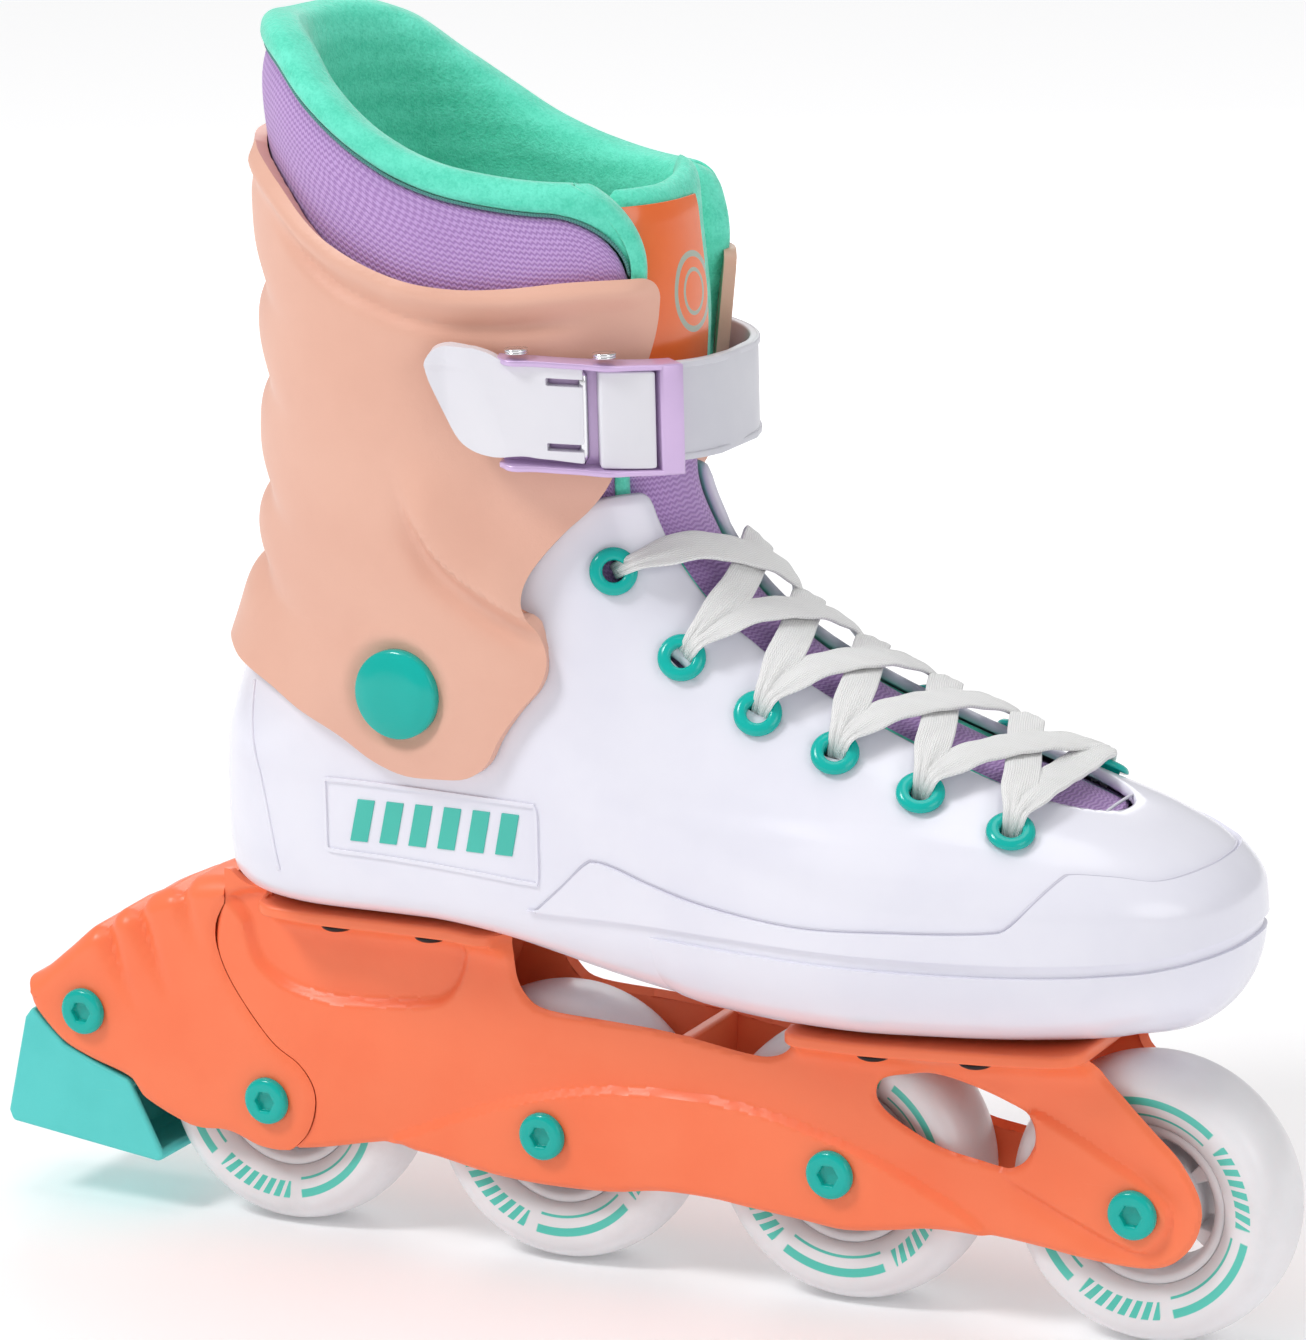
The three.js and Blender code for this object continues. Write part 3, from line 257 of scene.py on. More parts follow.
def off_form(a, z, distance):
    """Point at a distance outside the form, square to its surface (inside it when negative)."""
    a, z = np.broadcast_arrays(np.asarray(a, float), np.asarray(z, float))
    da, dz = 0.006, 1.2
    along = on_form(a + da, z) - on_form(a - da, z)
    up = on_form(a, z + dz) - on_form(a, z - dz)
    normal = np.cross(along, up)
    normal /= np.linalg.norm(normal, axis=-1, keepdims=True)
    return on_form(a, z) + normal * np.broadcast_to(np.asarray(distance, float), a.shape)[..., None]


print("toe of the form at x =", round(float(on_form(1.0, 106.0)[0]), 1))

# %% [markdown]
# ## Trimmed sheets
# Moulded and sewn pieces are all sheets with a shaped edge and a wall. Each starts as a grid, is wrapped on
# its surface, loses the faces outside its edge line, and has its border vertices slid along the surface onto
# that line. A Solidify modifier then gives the wall, and a small bevel on fine grids, or one level of
# subdivision on coarse ones, rounds the edge. This is cleaner than cutting with booleans, because the wall
# keeps its thickness and the edge stays a single smooth loop.

# %% Sheet tools
def side_distance(outline, p, axes=(0, 2)):
    """Signed distance of points to a closed outline seen along one axis: positive inside."""
    q = np.asarray(p, float)[..., list(axes)]
    a = np.asarray(outline, float)
    b = np.roll(a, -1, axis=0)
    near = np.full(q.shape[:-1], 1e9)
    inside = np.zeros(q.shape[:-1], bool)
    for u, v in zip(a, b):
        d = v - u
        t = np.clip(((q - u) @ d) / max(d @ d, 1e-12), 0, 1)
        near = np.minimum(near, np.linalg.norm(q - (u + t[..., None] * d), axis=-1))
        crosses = (u[1] > q[..., 1]) != (v[1] > q[..., 1])
        with np.errstate(divide="ignore", invalid="ignore"):
            at = u[0] + (q[..., 1] - u[1]) * d[0] / d[1]
        inside ^= crosses & (q[..., 0] < at)
    return np.where(inside, near, -near)


def rounded(points, count=6, closed=True):
    """A Catmull-Rom line through points, with count steps between neighbours."""
    p = np.asarray(points, float)
    n = len(p)
    out = []
    for i in range(n if closed else n - 1):
        q = [p[(i + k) % n] if closed else p[min(max(i + k, 0), n - 1)] for k in (-1, 0, 1, 2)]
        for j in range(count):
            t = j / count
            out.append(0.5 * (2 * q[1] + (q[2] - q[0]) * t + (2 * q[0] - 5 * q[1] + 4 * q[2] - q[3]) * t * t
                              + (3 * q[1] - q[0] - 3 * q[2] + q[3]) * t ** 3))
    if not closed:
        out.append(p[-1])
    return np.array(out)


SQUARE = [(0, 0), (20, 0), (20, 20), (0, 20)]
print("middle of a 20 mm square is inside by", float(side_distance(SQUARE, np.array([[10.0, 0, 10.0]]))[0]), "mm")

# %% A grid wrapped on a surface and trimmed
SEAM_GAP, TRIM_ROUNDS, TRIM_REACH = 0.004, 8, 1.3     # mm between the two edges of a closed grid; rounds; cells


def wrapped_sheet(place, cells_u, cells_v, keep=None, closed=True, weld=0.02, uv_scale=(1.0, 1.0)):
    """A grid laid on place(u, v), trimmed where keep(points) is negative. Gives a bmesh in millimetres."""
    bm = bmesh.new()
    bmesh.ops.create_grid(bm, x_segments=cells_u, y_segments=cells_v, size=0.5)
    key = bm.verts.layers.int.new("key")
    for i, v in enumerate(bm.verts):
        v[key] = i
    uv = np.array([(v.co.x + 0.5, v.co.y + 0.5) for v in bm.verts])
    at = place(uv[:, 0], uv[:, 1])
    for v in bm.verts:
        v.co = at[v[key]]
    if closed:
        bmesh.ops.remove_doubles(bm, verts=bm.verts, dist=SEAM_GAP)
    if keep is not None:
        g = keep(at)
        gone = [f for f in bm.faces if sum(g[v[key]] for v in f.verts) < 0]
        bmesh.ops.delete(bm, geom=gone, context="FACES")
        rim = [v[key] for v in bm.verts if v.is_boundary]
        idx = np.array([k for k in rim if abs(uv[k, 1] - 0.5) < 0.49999 or g[k] < 0], int)
        if not closed:
            idx = np.array([k for k in idx if abs(uv[k, 0] - 0.5) < 0.49999 or g[k] < 0], int)
        hu, hv = 0.25 / cells_u, 0.25 / cells_v
        start = uv[idx].copy()
        for _ in range(TRIM_ROUNDS):
            u, v = uv[idx, 0], uv[idx, 1]
            wrap = (lambda q: np.mod(q, 1.0)) if closed else (lambda q: np.clip(q, 0, 1))
            p = place(u, v)
            g0 = keep(p)
            u2, v2 = wrap(u + hu), np.where(v + hv > 1, v - hv, v + hv)
            if not closed:
                u2 = np.where(u + hu > 1, u - hu, u + hu)
            su, sv = np.where((not closed) & (u + hu > 1), -hu, hu), np.where(v + hv > 1, -hv, hv)
            pu, pv = place(u2, v), place(u, v2)
            lu = np.linalg.norm(pu - p, axis=1) / np.abs(su) + 1e-6
            lv = np.linalg.norm(pv - p, axis=1) / np.abs(sv) + 1e-6
            gu, gv = (keep(pu) - g0) / su, (keep(pv) - g0) / sv
            slope = (gu / lu) ** 2 + (gv / lv) ** 2
            step = np.where(slope > 0.02, -g0 / np.maximum(slope, 0.02), 0)
            far_u, far_v = TRIM_REACH / cells_u, TRIM_REACH / cells_v
            nu = start[:, 0] + np.clip(u + step * gu / lu ** 2 - start[:, 0], -far_u, far_u)
            nv = start[:, 1] + np.clip(v + step * gv / lv ** 2 - start[:, 1], -far_v, far_v)
            uv[idx, 0] = wrap(nu) if not closed else nu
            uv[idx, 1] = np.clip(nv, 0, 1)
        at = place(uv[:, 0], uv[:, 1])
        for v in bm.verts:
            v.co = at[v[key]]
    layer = bm.loops.layers.uv.new("UVMap")
    for f in bm.faces:
        us = [uv[loop.vert[key], 0] for loop in f.loops]
        wide = max(us) - min(us) > 0.5
        for loop, u in zip(f.loops, us):
            u = u + 1 if wide and u < 0.5 else u
            loop[layer].uv = (u * uv_scale[0], uv[loop.vert[key], 1] * uv_scale[1])
    bmesh.ops.remove_doubles(bm, verts=bm.verts, dist=weld)
    return bm


print("sheets are trimmed in", TRIM_ROUNDS, "rounds, and points under", SEAM_GAP, "mm apart are welded")

# %% From a mesh in millimetres to a piece that rides
CREASE_ANGLE = math.radians(35)


def finish_piece(bm, name, material, body="boot", replaces=(), wall=None, levels=0, offset=-1.0,
                 bevel=None, smooth=True):
    """Puts a bmesh, in skate millimetres, into the model as a piece that rides on a body."""
    for v in bm.verts:
        v.co = world(v.co)
    data = bpy.data.meshes.new(name)
    bm.to_mesh(data)
    bm.free()
    piece = bpy.data.objects.new(name, data)
    bpy.context.scene.collection.objects.link(piece)
    for f in data.polygons:
        f.use_smooth = smooth
    data.materials.append(material)
    if wall:
        m = piece.modifiers.new("wall", "SOLIDIFY")
        # an even offset would throw long spikes at sharp folds
        m.thickness, m.offset, m.use_even_offset = wall * MM, offset, False
        m.use_quality_normals = True
    if bevel:
        m = piece.modifiers.new("edge", "BEVEL")
        m.width, m.segments, m.limit_method, m.angle_limit = bevel * MM, 3, "ANGLE", CREASE_ANGLE
        m.use_clamp_overlap = True
        piece.modifiers.new("shading", "WEIGHTED_NORMAL").keep_sharp = True
    if levels:
        m = piece.modifiers.new("round", "SUBSURF")
        m.levels = m.render_levels = levels
    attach(piece, body)
    if replaces:
        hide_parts(*replaces)
    print(f"{name}: {len(data.vertices)} vertices, {len(data.polygons)} faces")
    return piece


print("edges sharper than", round(math.degrees(CREASE_ANGLE)), "degrees are bevelled")

# %% [markdown]
# ## Finishes
# Plastics differ mostly in how they scatter light: the shell is a glossy injection moulding, the cuff and the
# frame are satin. All of them share two effects, so these are node groups: a fine moulding grain, and handling
# wear that dulls and faintly greys the surface in soft patches and short scratches.

# %% Shared effects as node groups
def group_of(name, inputs, outputs):
    tree = bpy.data.node_groups.new(name, "ShaderNodeTree")
    for label, kind, value in inputs:
        socket = tree.interface.new_socket(label, in_out="INPUT", socket_type=kind)
        if value is not None:
            socket.default_value = value
    for label, kind in outputs:
        tree.interface.new_socket(label, in_out="OUTPUT", socket_type=kind)
    return tree, tree.nodes.new("NodeGroupInput"), tree.nodes.new("NodeGroupOutput")


def node(tree, kind, links=(), **values):
    n = tree.nodes.new(kind)
    for key, value in values.items():
        if key.startswith("in_"):
            name = key[3:]
            socket = n.inputs[int(name)] if name.isdigit() else n.inputs[name.replace("_", " ")]
            socket.default_value = value
        else:
            setattr(n, key, value)
    for socket, source in links:
        tree.links.new(source, n.inputs[socket])
    return n


def noise(tree, scale, detail=3, rough=0.5, vector=None):
    n = node(tree, "ShaderNodeTexNoise", in_Scale=scale, in_Detail=detail, in_Roughness=rough)
    if vector is not None:
        tree.links.new(vector, n.inputs["Vector"])
    return n.outputs["Fac"]


def math_node(tree, operation, a, b=None, c=None):
    n = tree.nodes.new("ShaderNodeMath")
    n.operation = operation
    for i, v in enumerate((a, b, c)):
        if v is None:
            continue
        if isinstance(v, (int, float)):
            n.inputs[i].default_value = v
        else:
            tree.links.new(v, n.inputs[i])
    return n.outputs[0]


def spread(tree, value, low, high, to_low=0.0, to_high=1.0):
    n = node(tree, "ShaderNodeMapRange", in_1=low, in_2=high, in_3=to_low, in_4=to_high)
    n.interpolation_type = "SMOOTHSTEP"
    tree.links.new(value, n.inputs[0])
    return n.outputs[0]


def blend_colour(tree, mask, a, b):
    n = tree.nodes.new("ShaderNodeMix")
    n.data_type = "RGBA"
    for i, v in ((0, mask), (6, a), (7, b)):
        if isinstance(v, (int, float, tuple)):
            n.inputs[i].default_value = v
        else:
            tree.links.new(v, n.inputs[i])
    return n.outputs[2]


# %% Moulding grain and handling wear
def make_grain():
    tree, inside, out = group_of("moulding_grain", [("Size", "NodeSocketFloat", 900.0)], [
        ("Height", "NodeSocketFloat"), ("Cloud", "NodeSocketFloat")])
    place = node(tree, "ShaderNodeTexCoord").outputs["Object"]
    fine = node(tree, "ShaderNodeTexNoise", [("Vector", place), ("Scale", inside.outputs["Size"])],
                in_Detail=2.0, in_Roughness=0.6)
    tree.links.new(fine.outputs["Fac"], out.inputs["Height"])
    tree.links.new(noise(tree, 26, 4, 0.55, place), out.inputs["Cloud"])
    return tree


def make_wear():
    tree, inside, out = group_of("handling_wear", [("Amount", "NodeSocketFloat", 0.5)], [
        ("Scuff", "NodeSocketFloat"), ("Scratch", "NodeSocketFloat")])
    place = node(tree, "ShaderNodeTexCoord").outputs["Object"]
    patches = spread(tree, noise(tree, 34, 6, 0.62, place), 0.50, 0.80)
    stretched = node(tree, "ShaderNodeMapping", [("Vector", place)], in_Scale=(70, 70, 3600),
                     in_Rotation=(0.6, 0.35, 0.2))
    lines = spread(tree, noise(tree, 1.0, 2, 0.5, stretched.outputs[0]), 0.69, 0.74)
    tree.links.new(math_node(tree, "MULTIPLY", patches, inside.outputs["Amount"]), out.inputs["Scuff"])
    short = math_node(tree, "MULTIPLY", lines, patches)
    tree.links.new(math_node(tree, "MULTIPLY", short, inside.outputs["Amount"]), out.inputs["Scratch"])
    return tree


GRAIN, WEAR = make_grain(), make_wear()
print("shared effects:", GRAIN.name, WEAR.name)


# %% Plastics
def place_group(tree, group, **values):
    n = tree.nodes.new("ShaderNodeGroup")
    n.node_tree = group
    for key, value in values.items():
        n.inputs[key].default_value = value
    return n


def new_material(name, **settings):
    m = bpy.data.materials.new(name)
    m.use_nodes = True
    shader = m.node_tree.nodes["Principled BSDF"]
    for key, value in settings.items():
        shader.inputs[key.replace("_", " ")].default_value = value
    return m, m.node_tree, shader


def bump(tree, shader, height, strength, distance):
    b = node(tree, "ShaderNodeBump", [("Height", height)], in_Strength=strength, in_Distance=distance)
    tree.links.new(b.outputs[0], shader.inputs["Normal"])
    return b


def plastic(name, colour, deep, rough, grain=900.0, relief=0.06, wear=0.4, coat=0.0, scuffed=None):
    """A moulded plastic: colour drifting towards deep, moulding grain, scuffs and fine scratches."""
    m, tree, shader = new_material(name, Coat_Weight=coat, Coat_Roughness=0.12)
    g = place_group(tree, GRAIN, Size=grain)
    w = place_group(tree, WEAR, Amount=wear)
    base = blend_colour(tree, spread(tree, g.outputs["Cloud"], 0.35, 0.7), colour, deep)
    base = blend_colour(tree, w.outputs["Scratch"], base, scuffed or tuple(min(1, c * 1.15) for c in colour))
    tree.links.new(base, shader.inputs["Base Color"])
    r = math_node(tree, "MULTIPLY_ADD", w.outputs["Scuff"], 0.12, rough)
    r = math_node(tree, "MULTIPLY_ADD", g.outputs["Cloud"], 0.06, r)
    tree.links.new(r, shader.inputs["Roughness"])
    height = math_node(tree, "MULTIPLY_ADD", w.outputs["Scratch"], -1.5, g.outputs["Height"])
    bump(tree, shader, height, relief, 0.0004)
    return m


SHELL = plastic("shell_gloss", (0.84, 0.835, 0.92, 1), (0.80, 0.795, 0.89, 1), 0.20, 700, 0.03, 0.22, 0.25,
                (0.66, 0.66, 0.70, 1))
CUFF = plastic("cuff_satin", (0.80, 0.455, 0.345, 1), (0.77, 0.425, 0.32, 1), 0.40, 1300, 0.10, 0.4, 0.0,
               (0.86, 0.60, 0.50, 1))
FRAME = plastic("frame_satin", (1.0, 0.215, 0.085, 1), (0.98, 0.19, 0.07, 1), 0.34, 1100, 0.09, 0.5, 0.0,
                (1.0, 0.36, 0.22, 1))
PAD = plastic("brake_rubber", (0.10, 0.66, 0.63, 1), (0.08, 0.60, 0.57, 1), 0.46, 1500, 0.18, 0.6, 0.0,
              (0.25, 0.70, 0.65, 1))
STRAP = plastic("strap_satin", (0.66, 0.66, 0.71, 1), (0.61, 0.61, 0.67, 1), 0.36, 1000, 0.07, 0.4)
LEVER = plastic("lever_gloss", (0.80, 0.79, 0.84, 1), (0.77, 0.76, 0.82, 1), 0.27, 900, 0.03, 0.08, 0.1,
                (0.68, 0.68, 0.72, 1))
HUB = plastic("hub_white", (0.82, 0.82, 0.84, 1), (0.76, 0.77, 0.80, 1), 0.34, 1000, 0.05, 0.4)
TEAL = plastic("teal_enamel", (0.001, 0.47, 0.41, 1), (0.001, 0.43, 0.37, 1), 0.16, 1500, 0.02, 0.3, 0.2,
               (0.2, 0.6, 0.55, 1))
TEAL.node_tree.nodes["Principled BSDF"].inputs["Specular IOR Level"].default_value = 0.3
# painted shade: a darker lavender grey for thin sheets that stand in for the shadow along the bumper's top and across
# the toe's crown
PAINTED_SHADE = plastic("shell_painted_shade_line", (0.60, 0.59, 0.68, 1), (0.56, 0.55, 0.65, 1), 0.3, 900, 0.04, 0.2)
print("plastics:", [m.name for m in (SHELL, CUFF, FRAME, PAD, STRAP, LEVER, HUB, TEAL, PAINTED_SHADE)])


# %% Metals
def metal(name, colour, rough):
    m, tree, shader = new_material(name, Metallic=1.0)
    w = place_group(tree, WEAR, Amount=0.8)
    place = node(tree, "ShaderNodeTexCoord").outputs["Object"]
    dull = tuple(c * 0.75 for c in colour[:3]) + (1,)
    tree.links.new(blend_colour(tree, w.outputs["Scuff"], colour, dull), shader.inputs["Base Color"])
    drawn = node(tree, "ShaderNodeMapping", [("Vector", place)], in_Scale=(120, 2500, 2500))
    streak = noise(tree, 1.0, 2, 0.5, drawn.outputs[0])
    tree.links.new(math_node(tree, "MULTIPLY_ADD", w.outputs["Scuff"], 0.15, rough), shader.inputs["Roughness"])
    bump(tree, shader, streak, 0.04, 0.0002)
    return m


STEEL = metal("steel_polished", (0.78, 0.78, 0.80, 1), 0.14)
BLACK = metal("steel_black", (0.035, 0.033, 0.035, 1), 0.35)
LILAC = plastic("lilac_metal", (0.66, 0.48, 0.76, 1), (0.61, 0.44, 0.72, 1), 0.26, 1500, 0.04, 0.5, 0.35,
                (0.78, 0.70, 0.86, 1))
LILAC.node_tree.nodes["Principled BSDF"].inputs["Metallic"].default_value = 0.35
print("metals:", [m.name for m in (STEEL, BLACK, LILAC)])

# %% [markdown]
# ## Shell
# The shell is one injection moulding: high gloss, open at the throat where the tongue shows, and closed round
# the heel and arch. Here the grid runs round the foot in one direction and from the collar down to the middle
# of the underside in the other, so that the heel and arch have no false seam. Only its front half is parted
# from the sole by a visible line, as on the real boot.

# %% Seam line and underside
SEAM_X = [-20, 50, 98, 119, 150, 187, 222, 245, 263, 276]
SEAM_Z = [104, 103, 102.4, 102.6, 102.6, 102.4, 102.0, 102.4, 105.2, 108]
KEEL_X = [-12, -9, -3, 8, 25, 56, 76, 93, 107, 120, 136, 153, 170, 189, 211, 233, 243, 252, 258, 262, 264]
KEEL_Z = [103, 97.5, 93.8, 92, 91.3, 91.3, 89, 84.8, 81, 78.2, 75.8, 74.5, 74.3, 75, 76, 78, 80.3, 84.5,
          89, 95, 103]


def seam_z(x):
    return curve(SEAM_X, SEAM_Z, x)


def keel_z(x):
    return curve(KEEL_X, KEEL_Z, x)


def seam_height(a):
    z = np.full_like(np.asarray(a, float), 103.0)
    for _ in range(8):
        z = seam_z(on_form(a, z)[..., 0])
    return z


def underside(a, w):
    """From the seam (w = 0) round the lower edge to the middle of the sole (w = 1)."""
    z0 = seam_height(a)
    edge = on_form(a, z0)
    spine_x = np.clip(edge[..., 0], 12, 240)
    spine_y = level(100.0, 8) * ramp(0.35, 1, (spine_x + 10) / 272)
    rho = 1 - w
    drop = np.power(np.clip(1 - rho ** 2.6, 0, 1), 1 / 2.1)
    spine_z = keel_z(spine_x)
    x = edge[..., 0] + (spine_x - edge[..., 0]) * w
    y = edge[..., 1] + (spine_y - edge[..., 1]) * w
    return np.stack([x, y, z0 + (spine_z - z0) * drop], -1)


print("seam and underside at the ball:", float(seam_z(187)), float(keel_z(189)))

# %% Throat, collar edge and eyelet seats
THROAT_EDGE = rounded([(190, 18.5), (205, 17.9), (217, 15.9), (225.5, 11.8), (230.5, 6.2), (232, 0)], 4, False)
THROAT_SIDE = np.concatenate([[(60, 18.5)], THROAT_EDGE])
throat_plan = np.concatenate([THROAT_SIDE, (THROAT_SIDE * (1, -1))[::-1][1:]])
throat_plan[:, 1] += 4 * ramp(120, 240, throat_plan[:, 0])


def throat_distance(p):
    """Positive outside the throat, seen from above; only counts on the instep."""
    distance = -side_distance(throat_plan, p, (0, 1))
    on_top = (p[..., 0] > 88) & (p[..., 2] > 118)
    return np.where(on_top, distance, 20.0)


def shell_top(p):
    line = curve([-40, 10, 45, 80, 100, 112, 160], [178, 178, 181, 191, 203, 205.5, 206], p[..., 0])
    return line - p[..., 2]


def inside_form(p):
    x, y, z = p[..., 0], p[..., 1], p[..., 2]
    s = (x - level(z, 1)) / (level(z, 2) - level(z, 1))
    a = np.arccos(1 - 2 * np.clip(s, 0, 1)) / np.pi
    lo, hi = on_form(a, z)[..., 1], on_form(2 - a, z)[..., 1]
    return (s > 0) & (s < 1) & (y > lo) & (y < hi)


EYELET_X, EYELET_Y, EYELET_HOLE = [111, 129, 149, 169, 191, 214], 29.5, 3.7


def eyelet_seat(x, sign):
    """An eyelet's place on the form and its outward direction."""
    y = sign * EYELET_Y + 2 * float(ramp(120, 240, x))
    heights = np.linspace(215, 105, 441)
    test = inside_form(np.stack([np.full_like(heights, x), np.full_like(heights, y), heights], -1))
    z = heights[np.argmax(test)]
    s = (x - level(z, 1)) / (level(z, 2) - level(z, 1))
    a = math.acos(1 - 2 * min(max(float(s), 0), 1)) / math.pi
    a = np.array([a if sign < 0 else 2 - a])
    at = on_form(a, np.array([z]))[0]
    away = off_form(a, np.array([z]), 1.0)[0] - at
    return at, away / np.linalg.norm(away)


seats = {(sign, k): eyelet_seat(x, sign) for sign in (-1, 1) for k, x in enumerate(EYELET_X)}
print("eyelet heights:", [round(float(seats[-1, k][0][2]), 1) for k in range(6)])


# %% Shell surface
def shell_keep(p):
    keep = np.minimum(throat_distance(p), shell_top(p))
    for at, _ in seats.values():
        keep = np.minimum(keep, np.linalg.norm(p - at, axis=-1) - EYELET_HOLE)
    return keep


SHELL_TOP = 209.0
SPLIT = 0.68          # the share of the grid's rows that lies above the seam
ROWS, RISE = [0, 0.15, 0.3, 0.45, 0.6, 0.7, 0.8, 0.9, 1], [0, 0.09, 0.18, 0.235, 0.29, 0.40, 0.54, 0.75, 1]


def shell_place(u, v):
    """v runs from the middle of the underside (0) past the seam (1 - SPLIT) up to the collar (1)."""
    a = 2 * u
    w = np.clip(1 - v / (1 - SPLIT), 0, 1)
    t = np.clip((v - (1 - SPLIT)) / SPLIT, 0, 1)
    z0 = seam_height(a)
    # rows crowd where the instep runs nearly level, so that cells stay square there
    upper = on_form(a, z0 + (SHELL_TOP - z0) * np.interp(t, ROWS, RISE))
    lower = underside(a, w ** 1.25)
    return np.where((w > 0)[..., None], lower, upper)


print("seam at the toe", round(float(seam_height(np.array([1.0]))[0]), 1))

# %% Shell and sole
def sole_place(u, v):
    """The sole's front part, from its middle line (v = 0) to just under the seam (v = 1)."""
    a = 0.4 + 1.2 * u
    w = np.clip(1 - v, 0.012, 1) ** 1.25
    x = on_form(a, seam_height(a))[..., 0]
    proud = -0.9 + 1.7 * ramp(118, 130, x)
    lower = underside(a, w)
    outward = underside(a, np.maximum(w - 0.02, 0.0)) - underside(a, np.minimum(w + 0.02, 1.0))
    along = underside(a + 0.004, w) - underside(a - 0.004, w)
    normal = np.cross(along, outward)
    size = np.linalg.norm(normal, axis=-1, keepdims=True)
    normal = np.where(size > 1e-4, normal / (size + 1e-9), np.array([0, 0, -1.0]))
    return lower + normal * (proud * ramp(1.0, 0.93, w))[..., None]


finish_piece(wrapped_sheet(shell_place, 158, 80, shell_keep), "shell", SHELL,
             replaces=["upper_shell"], wall=2.8, levels=1)
finish_piece(wrapped_sheet(sole_place, 130, 26, closed=False), "sole_front", SHELL,
             replaces=["sole"], wall=1.2, bevel=0.3)

# %% [markdown]
# ## Cuff
# The cuff is a softer, matte moulding that hinges on the two teal pivots. It is pressed out in shallow ribs
# up the back, has a soft crease that runs up from the front of the pivot, and its top edge turns outwards.

# %% Cuff outline and surface
CUFF_LOW = [(-30, 161), (-4, 161), (7, 158), (20, 154), (30, 149), (41, 143.5), (50, 138), (59, 135), (68, 135),
            (77, 136), (83, 140), (87, 147), (92, 154), (97, 160), (98.5, 166), (96, 173), (93, 181), (95, 189),
            (103, 199), (114, 208), (124, 213), (140, 214)]
CUFF_TOP = [(140, 259), (122, 259), (106, 259), (90, 257.5), (77, 257.5), (63, 260), (48, 266), (38, 272),
            (28, 280), (18, 286), (8, 289.5), (-30, 290.5)]
cuff_outline = np.concatenate([rounded(CUFF_LOW, 5, False), rounded(CUFF_TOP, 5, False)])
CUFF_CORNER, CUFF_OFF = 6.0, 3.7
PIVOT_X, PIVOT_Z = 59, 156


def cuff_front(p):
    half = np.where(p[..., 1] < 0, 28.5, 26.5) - 7.5 * ramp(214, 250, p[..., 2])
    return np.where(p[..., 0] > 96, np.abs(p[..., 1]) - half, 30.0)


def cuff_keep(p):
    inside, front = side_distance(cuff_outline, p), cuff_front(p)
    corner = CUFF_CORNER - np.hypot(np.clip(CUFF_CORNER - inside, 0, 99), np.clip(CUFF_CORNER - front, 0, 99))
    return np.where((inside < CUFF_CORNER) & (front < CUFF_CORNER), corner, np.minimum(inside, front))


def cuff_top_z(x):
    xs = [q[0] for q in CUFF_TOP[::-1]]
    return np.interp(x, xs, [q[1] for q in CUFF_TOP[::-1]])


# %% Cuff relief
CREASE = [(59, 214), (61, 205), (66, 195), (72, 187.5), (80, 181), (88, 176), (100, 170)]
FOLD = np.concatenate([rounded(CREASE, 4, False), [(135, 165), (135, 235), (57, 236)]])
NOTCHES = (188, 210, 239, 263)


def cuff_relief(p):
    """How far the outside stands off its plain surface."""
    x, z = p[..., 0], p[..., 2]
    behind = np.exp(-(np.clip(x - 4, 0, 99) / 15) ** 2)
    slant = z + 0.55 * np.clip(x + 2, 0, 40)
    ribs = 2.2 - 5.0 * sum(np.exp(-np.abs((slant - c) / 5.5) ** 1.6) for c in NOTCHES)
    under_lip = cuff_top_z(x) - z
    lip = 2.2 * np.exp(-((under_lip - 2.8) / 3.2) ** 2)
    groove = -1.7 * np.exp(-((under_lip - 9.6) / 2.3) ** 2) * ramp(108, 92, x) * ramp(24, 40, x)
    fold = side_distance(FOLD, p)
    fade = ramp(57, 70, x) * ramp(219, 200, z) * (0.4 + 0.6 * ramp(99, 86, x))
    raised = 3.9 * ramp(-0.4, 2.4, fold) * np.exp(-(np.clip(fold - 2, 0, 99) / 13) ** 2)
    dip = -1.9 * np.exp(-((fold + 2.4) / 3.0) ** 2)
    seat = np.hypot(x - PIVOT_X, z - PIVOT_Z)
    hollow = -0.9 * ramp(14.2, 12.0, seat) + 0.35 * np.exp(-((seat - 15.6) / 1.8) ** 2)
    lip = lip * ramp(0, 7, np.abs(p[..., 1]) - 19)
    return ribs * behind * ramp(2, 14, under_lip) + lip + groove + (raised + dip) * fade + hollow


def cuff_place(u, v):
    a, z = 2 * u, 132 + 162 * v
    return off_form(a, z, CUFF_OFF + cuff_relief(on_form(a, z)))


finish_piece(wrapped_sheet(cuff_place, 300, 150, cuff_keep), "cuff_moulding", CUFF,
             replaces=["cuff"], wall=3.1, bevel=0.6)

# %% [markdown]
# ## Raised lines and panels on the shell
# The moulding carries shallow raised lines: a bumper that wraps the toe, a border round a plate under the ankle with
# a plain row of slanted bars, and a seam up the heel. A step of a millimetre is too fine for the shell's own grid
# to hold crisply, so each is a thin sheet of its own, sunk a little into the surface. Two darker lines, along the
# bumper's top and across the toe's crown, are painted shade: thin sheets that stand in for the shadow at those edges.

# %% Sheets laid on the shell by their side view
def on_side(x, z, sign=-1, distance=0.0):
    """The boot's surface at x and z, on the outside (-1) or the inside (+1)."""
    x, z = np.asarray(x, float), np.asarray(z, float)
    s = np.clip((x - level(z, 1)) / (level(z, 2) - level(z, 1)), 0, 1)
    a = np.arccos(1 - 2 * s) / np.pi
    return off_form(a if sign < 0 else 2 - a, z, distance)


def laid_sheet(name, place_xz, cells, sides, height, material, sink=0.5, bevel=0.25):
    for sign in sides:
        def place(u, v):
            x, z = place_xz(u if sign < 0 else 1 - u, v)
            return on_side(x, z, sign, -sink)

        bm = wrapped_sheet(place, cells[0], cells[1], closed=False)
        label = name if len(sides) == 1 else f"{name}_{'outer' if sign < 0 else 'inner'}"
        finish_piece(bm, label, material, wall=height + sink, offset=1.0, bevel=bevel)


